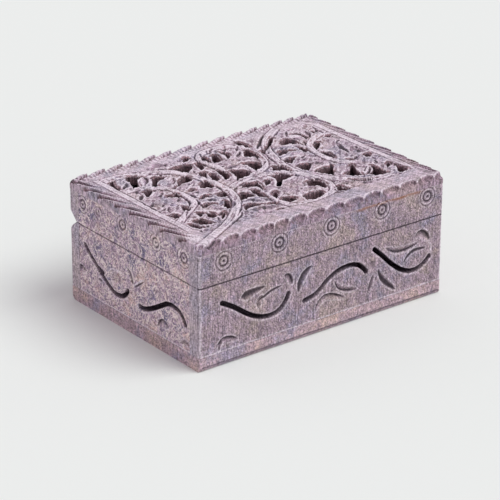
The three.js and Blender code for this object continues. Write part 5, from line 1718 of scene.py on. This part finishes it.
@dataclass
class BoxBase:
    """The box below its lid: a floor slab, two long walls, two short ones between them, and the
    hinges' eye pins."""

    foot_front_radius: float = 2.2
    foot_back_radius: float = 4.0
    foot_pitch: float = 0.8
    swell_length: float = 38.0
    foot_rub: Bell = Bell(0.3, 0.4, 0.8)
    brim_rub: Bell = Bell(0.35, 0.4, 0.45)
    brim_fall: Bell = Bell(0.0, 0.4, 0.3)
    groove_heights: tuple[float, ...] = (38.25, 39.0, 40.15, 41.6, 43.25)
    groove_depths: tuple[float, ...] = (0.0, 0.25, 1.0, 2.7, 5.0)
    # Painted shade on the walls of the end slabs' openings, weaker than on the long slabs
    end_bore_painted_shade: float = -0.5

    def carve_wall(self, places: FacePlaces, marks: dict, side: SideFace, seed: float) -> Relief:
        """Cuts a wall's face.

        Args:
            places: the face's places.
            marks: the wall's table of marks.
            side: how its edges are eased.
            seed: shifts the face's slow swells.

        Returns:
            The relief.
        """
        relief = Relief.flat(places)
        relief.mark(places, marks)
        relief.depth = np.maximum(relief.depth, 0)
        across, up = places.points.T
        relief.rub += self.foot_rub.at(up - up.min())
        side.ease(relief, across, up - up.min(), up.max() - up,
                  hand_wobble(places.points, self.swell_length, seed))
        relief.rub += self.brim_rub.at(places.opening)
        relief.depth += self.brim_fall.at(places.opening)
        return relief

    def carve_back(self, places: FacePlaces) -> Relief:
        """The back wall: its upper edge is rounded off for the hinges, which lie in pockets."""
        relief = self.carve_wall(places, LONG_WALL_MARKS, LONG_SIDE, 2.3)
        relief.depth += np.interp(places.points[:, 1], self.groove_heights, self.groove_depths)
        HingePockets().sink(relief, places)
        return relief

    def carve_floor(self, places: FacePlaces) -> Relief:
        """The underside: its long edges are worn round."""
        relief = Relief.flat(places)
        up = places.points[:, 1]
        relief.depth += arris(up.max() - up, self.foot_front_radius)
        relief.depth += arris(up - up.min(), self.foot_back_radius)
        return relief

    def build(self, stones: dict[str, bpy.types.Material], wire: bpy.types.Material) -> None:
        """Builds the base's slabs and eye pins.

        Args:
            stones: the finished stones, by slot.
            wire: the hinge wire's material.
        """
        short_settings = {"bore_painted_shade": self.end_bore_painted_shade}
        build_body("base", (
            ("floor_slab", "foot_stone", Facing.BOTTOM, self.carve_floor,
             {"pitch": self.foot_pitch}),
            ("front_wall", "face_stone", Facing.FRONT,
             lambda p: self.carve_wall(p, LONG_WALL_MARKS, LONG_SIDE, 0.4), LONG_SETTINGS),
            ("back_wall", "face_stone", Facing.BACK, self.carve_back, LONG_SETTINGS),
            ("left_wall", "end_stone", Facing.LEFT,
             lambda p: self.carve_wall(p, SHORT_WALL_MARKS, SHORT_SIDE, 1.1), short_settings),
            ("right_wall", "end_stone", Facing.RIGHT,
             lambda p: self.carve_wall(p, SHORT_WALL_MARKS, SHORT_SIDE, 3.7), short_settings),
        ), ("hinge_eye_left", "hinge_eye_right"), stones, wire)


@dataclass
class BoxLid:
    """The lid: a pierced panel glued on four rails, and the hinges' staples.

    The panel's field lies a little lower than its border and fades into it. Where the way to the
    nearest opening runs against leaf_fall, the stone falls off towards it, with brown painted shade
    at the bottom and a painted highlight on the crest at the top. On the other side the brim of the
    opening carries a painted highlight, with a painted shade line further out. Between the leaves'
    backs the field lies lower and is darkened with painted shade. Lengths are in mm.
    """

    half_length: float = LID_HALF_LENGTH
    half_depth: float = LID_HALF_DEPTH
    field_half_length: float = 66.0
    field_half_depth: float = 42.5
    field_drop: float = 0.35
    field_fade: float = 2.5
    panel_rub: float = 0.34
    field_darkening: float = 0.2
    paler_to_back: float = 0.07
    field_contrast: float = 0.25
    # The fall towards each opening: painted shade on its slope, painted highlights on its crest and
    # on the near side's brim, and a painted shade line further out on the near side
    fall_drop: float = 1.6
    fall_width: float = 1.9
    leaf_fall: tuple[float, float] = (0.61, 0.79)
    fall_power: float = 0.6
    fall_brown_shade_limits: tuple[float, float] = (0.05, 0.25)
    fall_shade_darkening: float = 0.36
    crest: Bell = Bell(2.2, 0.4, 0.9)
    brim: Bell = Bell(0.4, 0.45)
    brim_highlights: tuple[float, float] = (0.3, 0.7)
    near_line: Bell = Bell(1.5, 0.35, 0.3)
    # Between the leaves' backs: painted shade where the field lies lower, and a painted highlight
    # on each back's rim
    backs_length: float = 9.0
    backs_drop: float = 0.35
    backs_slope: tuple[float, float] = (0.1, 0.5)
    backs_shade: float = 0.32
    backs_shade_slope: tuple[float, float] = (0.15, 0.35)
    backs_rim: Bell = Bell(0.1, 0.09, 0.4)
    edge_round: float = 0.25
    chip_length: float = 3.1
    chip: Bell = Bell(0.0, 0.7, 0.5)
    groove_height: float = 5.0
    rail_swell_length: float = 33.0
    top_rub: float = 0.4
    top_rub_fade: tuple[float, float] = (0.1, 0.7)
    stain_band: Bell = Bell(59.5, 0.9, 0.9)
    stain_sway: float = 0.3
    stain_sway_rate: float = 0.5
    stain_starts: tuple[float, float] = (14.0, 26.0)
    stain_ends: tuple[float, float] = (54.0, 68.0)
    ropes: tuple[RopeEdge, ...] = (
        RopeEdge(Lobe.SCOOP, along=(1, 0), outward=(0, -1), edge=54.0, slant_degrees=38.0,
                 reach=3.2, depth=2.4,
                 notches=(-73.0, -62.5, -51.5, -41.5, -31.5, -22.5, -11.5, 0.5, 12.0, 24.0, 35.0,
                          47.0, 58.0, 69.0)),
        RopeEdge(Lobe.FALLING, along=(0, 1), outward=(1, 0), edge=76.0, slant_degrees=74.0,
                 reach=5.0, depth=1.5, band=8.0, notch_shade=0.6, notch_width=0.9,
                 strand_pitch=6.0, strand_slant_degrees=74.0, strand_depth=0.28,
                 notches=(-51.5, -45.1, -34.4, -25.4, -13.5, -0.3, 11.6, 23.1, 34.7, 45.5),
                 span=(-49.0, 80.0)),
        RopeEdge(Lobe.FALLING, along=(-1, 0), outward=(0, 1), edge=54.0, slant_degrees=62.0,
                 reach=6.5, depth=3.0, band=9.0, notch_shade=0.25, strand_pitch=2.3,
                 strand_slant_degrees=11.0, strand_depth=0.26, fall=2.6,
                 notches=(-75.7, -66.4, -58.3, -50.0, -41.7, -32.4, -20.5, -10.2, 0.0, 13.2, 23.1,
                          33.9, 44.0, 54.5, 65.0)),
        RopeEdge(Lobe.RISING, along=(0, -1), outward=(-1, 0), edge=76.0, slant_degrees=76.0,
                 reach=4.5, depth=2.4, band=7.6, notch_shade=0.65, notch_width=1.1,
                 strand_pitch=5.2, strand_slant_degrees=76.0, strand_depth=0.36,
                 notches=(-41.0, -28.8, -15.1, -2.8, 13.1, 22.7, 37.2, 49.0),
                 span=(-80.0, 44.0)),
    )

    def carve_rail(self, places: FacePlaces, rings: tuple[DrilledRing, ...], side: SideFace,
                   seed: float) -> Relief:
        """Cuts a rail's face with drilled rings.

        Args:
            places: the face's places.
            rings: the rail's rings.
            side: how its edges are eased.
            seed: shifts the face's slow swells.

        Returns:
            The relief.
        """
        relief = Relief.flat(places)
        for ring in rings:
            relief.add(*ring.cut(places.points))
        across, up = places.points.T
        side.ease(relief, across, up.max() - up, up - up.min(),
                  hand_wobble(places.points, self.rail_swell_length, seed))
        relief.rub += self.top_rub * (1 - ramp(up.max() - up, *self.top_rub_fade))
        return relief

    def carve_front_rail(self, places: FacePlaces) -> Relief:
        """The front rail: iron has stained the joint above it, right of the middle."""
        relief = self.carve_rail(places, LONG_RAIL_RINGS, LONG_SIDE, 0.9)
        across, up = places.points.T
        band = self.stain_band.at(up - self.stain_sway * np.sin(across * self.stain_sway_rate))
        along = ramp(across, *self.stain_starts) * (1 - ramp(across, *self.stain_ends))
        relief.stain = band * along
        return relief

    def carve_back_rail(self, places: FacePlaces) -> Relief:
        """The back rail: its lower edge is bevelled for the hinges, which lie in pockets."""
        relief = self.carve_rail(places, LONG_RAIL_RINGS, LONG_SIDE, 2.9)
        up = places.points[:, 1]
        relief.depth += np.clip(self.groove_height - (up - up.min()), 0, None)
        HingePockets().sink(relief, places)
        return relief

    def lean_to_openings(self, relief: Relief, places: FacePlaces, field: np.ndarray) -> None:
        """Lets the stone fall off towards each opening on one side, with painted shade on the
        slope, and paints highlights on its rims.

        Args:
            relief: the panel's relief.
            places: the face's places.
            field: 1 in the field and 0 on the border.
        """
        leaning = places.towards @ np.array(self.leaf_fall)
        near_side = np.clip(leaning, 0, 1)
        far_side = np.clip(-leaning, 0, 1) ** self.fall_power
        fall = np.clip(1 - places.opening / self.fall_width, 0, 1) * far_side
        # Brown painted shade on the slope that falls towards the opening
        brown = ramp(fall, *self.fall_brown_shade_limits)
        relief.depth += self.fall_drop * fall
        relief.hollow += brown
        relief.rub -= self.fall_shade_darkening * brown
        # Painted highlights on the crest and on the near side's brim, and a painted shade line on
        # the near side
        least, more = self.brim_highlights
        pale = (least + more * near_side) * (1 - far_side)
        relief.rub += far_side * self.crest.at(places.opening)
        relief.rub += pale * self.brim.at(places.opening)
        relief.rub -= self.near_line.at(places.opening) * near_side * field

    def raise_backs(self, relief: Relief, points: np.ndarray, field: np.ndarray) -> None:
        """Lowers the field between the leaves' backs and darkens it with painted shade, and paints
        a highlight on a rim round each back.

        Args:
            relief: the panel's relief.
            points: points of the face, in mm.
            field: 1 in the field and 0 on the border.
        """
        backs = hand_wobble(points, self.backs_length, 3.3)
        relief.depth += self.backs_drop * field * ramp(backs, *self.backs_slope)
        # Painted shade where the field lies lower, and a painted highlight on each back's rim
        relief.rub -= self.backs_shade * field * ramp(backs, *self.backs_shade_slope)
        relief.rub += field * self.backs_rim.at(backs)

    def carve_panel(self, places: FacePlaces) -> Relief:
        """The pierced panel: a lowered field with stems left standing and leaves gouged between
        them, rubbed pale all over, and a rope twist round its edge.

        Args:
            places: the face's places.

        Returns:
            The relief.
        """
        relief = Relief.flat(places)
        points = places.points
        x, y = points.T
        field = (ramp(self.field_half_length - np.abs(x), 0, self.field_fade)
                 * ramp(self.field_half_depth - np.abs(y), 0, self.field_fade))
        relief.depth += self.field_drop * field
        unit = (self.half_length, self.half_depth)
        for width, run in STEMS:
            relief.add(*Mark(T.RIDGE, E.SQUARE, width, self.field_drop, run).cut(points, unit))
        relief.depth = np.maximum(relief.depth, 0)
        # Paler all over as rubbed stone; darker in the field and paler towards the back
        relief.rub += (self.panel_rub - self.field_darkening * field
                       + self.paler_to_back * y / self.half_depth)
        self.lean_to_openings(relief, places, field)
        self.raise_backs(relief, points, field)
        relief.mark(places, LID_MARKS, unit)
        relief.rub *= 1 + self.field_contrast * field
        for share, height, length, seed in ((1.0, 0.12, 17.0, 0.2), (field, 0.14, 5.2, 1.4),
                                            (1.0, 0.07, 2.6, 2.1)):
            relief.depth += share * height * (1 + hand_wobble(points, length, seed))
        for rope in self.ropes:
            depth, rub = rope.cut(points)
            relief.rub += rub
            relief.depth = np.maximum(relief.depth, depth)
        chips = np.clip(hand_wobble(points, self.chip_length, 0.7), 0, 1)
        relief.depth += arris(places.rim, self.edge_round) + chips * self.chip.at(places.rim)
        return relief

    def build(self, stones: dict[str, bpy.types.Material], wire: bpy.types.Material) -> None:
        """Builds the lid's slabs and staples.

        Args:
            stones: the finished stones, by slot.
            wire: the hinge wire's material.
        """
        # Painted light: the panel's left and right edge strips are painted paler, its front and
        # back ones darker
        panel_settings = {"pitch": 0.43, "wall_shares": (0.14, 0.52, 1.0), "side_painted_lights": (0.2, -0.2)}
        build_body("lid", (
            ("lid_panel", "pale_stone", Facing.TOP, self.carve_panel, panel_settings),
            ("lid_front_rail", "face_stone", Facing.FRONT, self.carve_front_rail, LONG_SETTINGS),
            ("lid_back_rail", "face_stone", Facing.BACK, self.carve_back_rail, LONG_SETTINGS),
            ("lid_left_rail", "end_stone", Facing.LEFT,
             lambda p: self.carve_rail(p, SHORT_RAIL_RINGS, SHORT_SIDE, 1.6), {}),
            ("lid_right_rail", "end_stone", Facing.RIGHT,
             lambda p: self.carve_rail(p, SHORT_RAIL_RINGS, SHORT_SIDE, 4.1), {}),
        ), ("hinge_staple_left", "hinge_staple_right"), stones, wire)


def wire_piece(node: str, body: str, wire: bpy.types.Material) -> bpy.types.Object:
    """Stands a smooth wire in a hinge node's place: the node's own faces, merged and divided where
    they lie, so that the eye and the staple stay as clear of each other as they are in the frame.

    Args:
        node: the CAD node.
        body: the body it rides on.
        wire: its material.

    Returns:
        The finished piece.
    """
    points, triangles = merged(*cad_mesh(node), WIRE_DIGITS)
    piece = mesh_piece(node.replace("_", "-"), points, np.empty((0, 4), int), triangles, {}, {})
    divided = piece.modifiers.new("divided", "SUBSURF")
    divided.subdivision_type = "SIMPLE"
    divided.levels = divided.render_levels = 1
    piece.data.materials.append(wire)
    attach(piece, body)
    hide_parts(node)
    log.info("%s: wire", piece.name)
    return piece


@dataclass
class Studio:
    """A plain pale floor under soft light, and a camera where the photograph was taken from."""

    azimuth: float = -37.8144
    elevation: float = 23.6772
    roll: float = 0.1856
    distance: float = 1253.245
    target: tuple[float, float, float] = (-4.2478, 0.0, 26.0562)
    focal_pixels: float = 2499.57
    frame_pixels: float = 500.0
    sensor: float = 36.0
    floor_side: float = 6.0
    floor_colour: str = "ECEEED"
    sky_level: float = 0.56
    sun_level: float = 1.73
    sun_angle: float = 40.0
    sun_from: tuple[float, float] = (38.0, 55.0)
    sky_tint: tuple[float, float, float] = (1.0, 0.95, 0.995)
    sun_tint: tuple[float, float, float] = (0.97, 1.02, 0.97)

    def camera(self) -> None:
        """Sets the camera by azimuth, elevation, roll and distance from its target."""
        azimuth, elevation, roll = (math.radians(v) for v in
                                    (self.azimuth, self.elevation, self.roll))
        back = Vector((math.sin(azimuth) * math.cos(elevation),
                       -math.cos(azimuth) * math.cos(elevation), math.sin(elevation)))
        level = Vector((math.cos(azimuth), math.sin(azimuth), 0))
        above = back.cross(level)
        right = math.cos(roll) * level + math.sin(roll) * above
        above = math.cos(roll) * above - math.sin(roll) * level
        lens = bpy.data.cameras.new("camera")
        lens.sensor_width = self.sensor
        lens.lens = self.focal_pixels / self.frame_pixels * self.sensor
        lens.clip_start, lens.clip_end = 0.05, 50
        seat = (Vector(self.target) + back * self.distance) * MILLIMETRE
        eye = bpy.data.objects.new("camera", lens)
        turned = Matrix((right, above, back)).transposed().to_4x4()
        eye.matrix_world = Matrix.Translation(seat) @ turned
        bpy.context.scene.collection.objects.link(eye)
        bpy.context.scene.camera = eye

    def floor(self) -> None:
        """Lays a matt floor of one pale colour under the box."""
        half = self.floor_side / 2
        mesh = bpy.data.meshes.new("floor")
        mesh.from_pydata([(-half, -half, 0), (half, -half, 0), (half, half, 0), (-half, half, 0)],
                         [], [(0, 1, 2, 3)])
        paper = bpy.data.materials.new("matt paper")
        tree = empty_tree(paper)
        shader = add_node(tree, "ShaderNodeBsdfDiffuse", {"Color": linear(self.floor_colour)})
        add_node(tree, "ShaderNodeOutputMaterial", {"Surface": shader.outputs["BSDF"]})
        mesh.materials.append(paper)
        ground = bpy.data.objects.new("floor", mesh)
        bpy.context.scene.collection.objects.link(ground)

    def light(self) -> None:
        """Lights the box from all round, with a wide soft sun from the right."""
        world = bpy.data.worlds.new("studio")
        bpy.context.scene.world = world
        tree = empty_tree(world)
        ray = add_node(tree, "ShaderNodeLightPath")
        seen = add_node(tree, "ShaderNodeMath", {
            0: ray.outputs["Is Camera Ray"], 1: ray.outputs["Is Glossy Ray"]},
            operation="MAXIMUM")
        seen_all = add_node(tree, "ShaderNodeMath", {
            0: seen.outputs["Value"], 1: ray.outputs["Is Transmission Ray"]},
            operation="MAXIMUM")
        sky = add_node(tree, "ShaderNodeBackground", {
            "Color": (*self.sky_tint, 1.0), "Strength": self.sky_level})
        backdrop = add_node(tree, "ShaderNodeBackground", {
            "Color": linear(self.floor_colour), "Strength": 1.0})
        mixed = add_node(tree, "ShaderNodeMixShader", {
            0: seen_all.outputs["Value"], 1: sky.outputs["Background"],
            2: backdrop.outputs["Background"]})
        add_node(tree, "ShaderNodeOutputWorld", {"Surface": mixed.outputs["Shader"]})
        lamp = bpy.data.lights.new("soft sun", "SUN")
        lamp.energy = self.sun_level
        lamp.color = self.sun_tint
        lamp.angle = math.radians(self.sun_angle)
        azimuth, elevation = (math.radians(v) for v in self.sun_from)
        towards = Vector((math.sin(azimuth) * math.cos(elevation),
                          -math.cos(azimuth) * math.cos(elevation), math.sin(elevation)))
        sun = bpy.data.objects.new("soft sun", lamp)
        sun.rotation_euler = towards.to_track_quat("Z", "Y").to_euler()
        bpy.context.scene.collection.objects.link(sun)

    def build(self) -> None:
        """Sets up the camera, the floor, the light and the colour handling."""
        self.camera()
        self.floor()
        self.light()
        bpy.context.scene.view_settings.view_transform = "Standard"


def main() -> None:
    """Builds the studio, the base and the lid."""
    logging.basicConfig(level=logging.INFO, format="%(name)s %(message)s")
    Studio().build()
    stones = {
        "face_stone": Soapstone("soapstone, sawn face").material(),
        # The ends' stone has more cream veins, and its paler ground is partly painted light: it
        # makes up for the light that the end away from the sun misses
        "end_stone": Soapstone(
            "soapstone, sawn end", ground="B097A9", slate="7F7490", rose="C6A8A8",
            cream="F8E6E4", vein_share=0.95, vein_mm=4.4, grain_share=0.45, flake_share=0.42,
            patch_mm=9.0,
            streaks=(Streak((35, 0, 0), (2.0, 0.8, 3.5), 0.22),)).material(),
        # The lid's bore colour is the painted shade of its openings' walls
        "pale_stone": Soapstone(
            "soapstone, rubbed lid", ground="A88EA2", slate="8E839B", rose="B097A0", bore="8C6A72",
            flake_share=0.31, grain_share=0.25, mottle_share=0.23,
            streaks=(Streak((0, 0, 24), (0.6, 7.0, 4.0), 0.46),
                     Streak((0, 0, -52), (0.6, 7.0, 4.0), 0.26))).material(),
        "foot_stone": Soapstone(
            "soapstone, sawn foot", ground="B298A4", slate="9A8DA3", rose="BEA3A2",
            streaks=(Streak((0, 0, 0), (0.9, 0.9, 6.0), 0.22),)).material(),
    }
    wire = DrawnSteelWire().material()
    BoxBase().build(stones, wire)
    BoxLid().build(stones, wire)


if __name__ == "__main__":
    main()
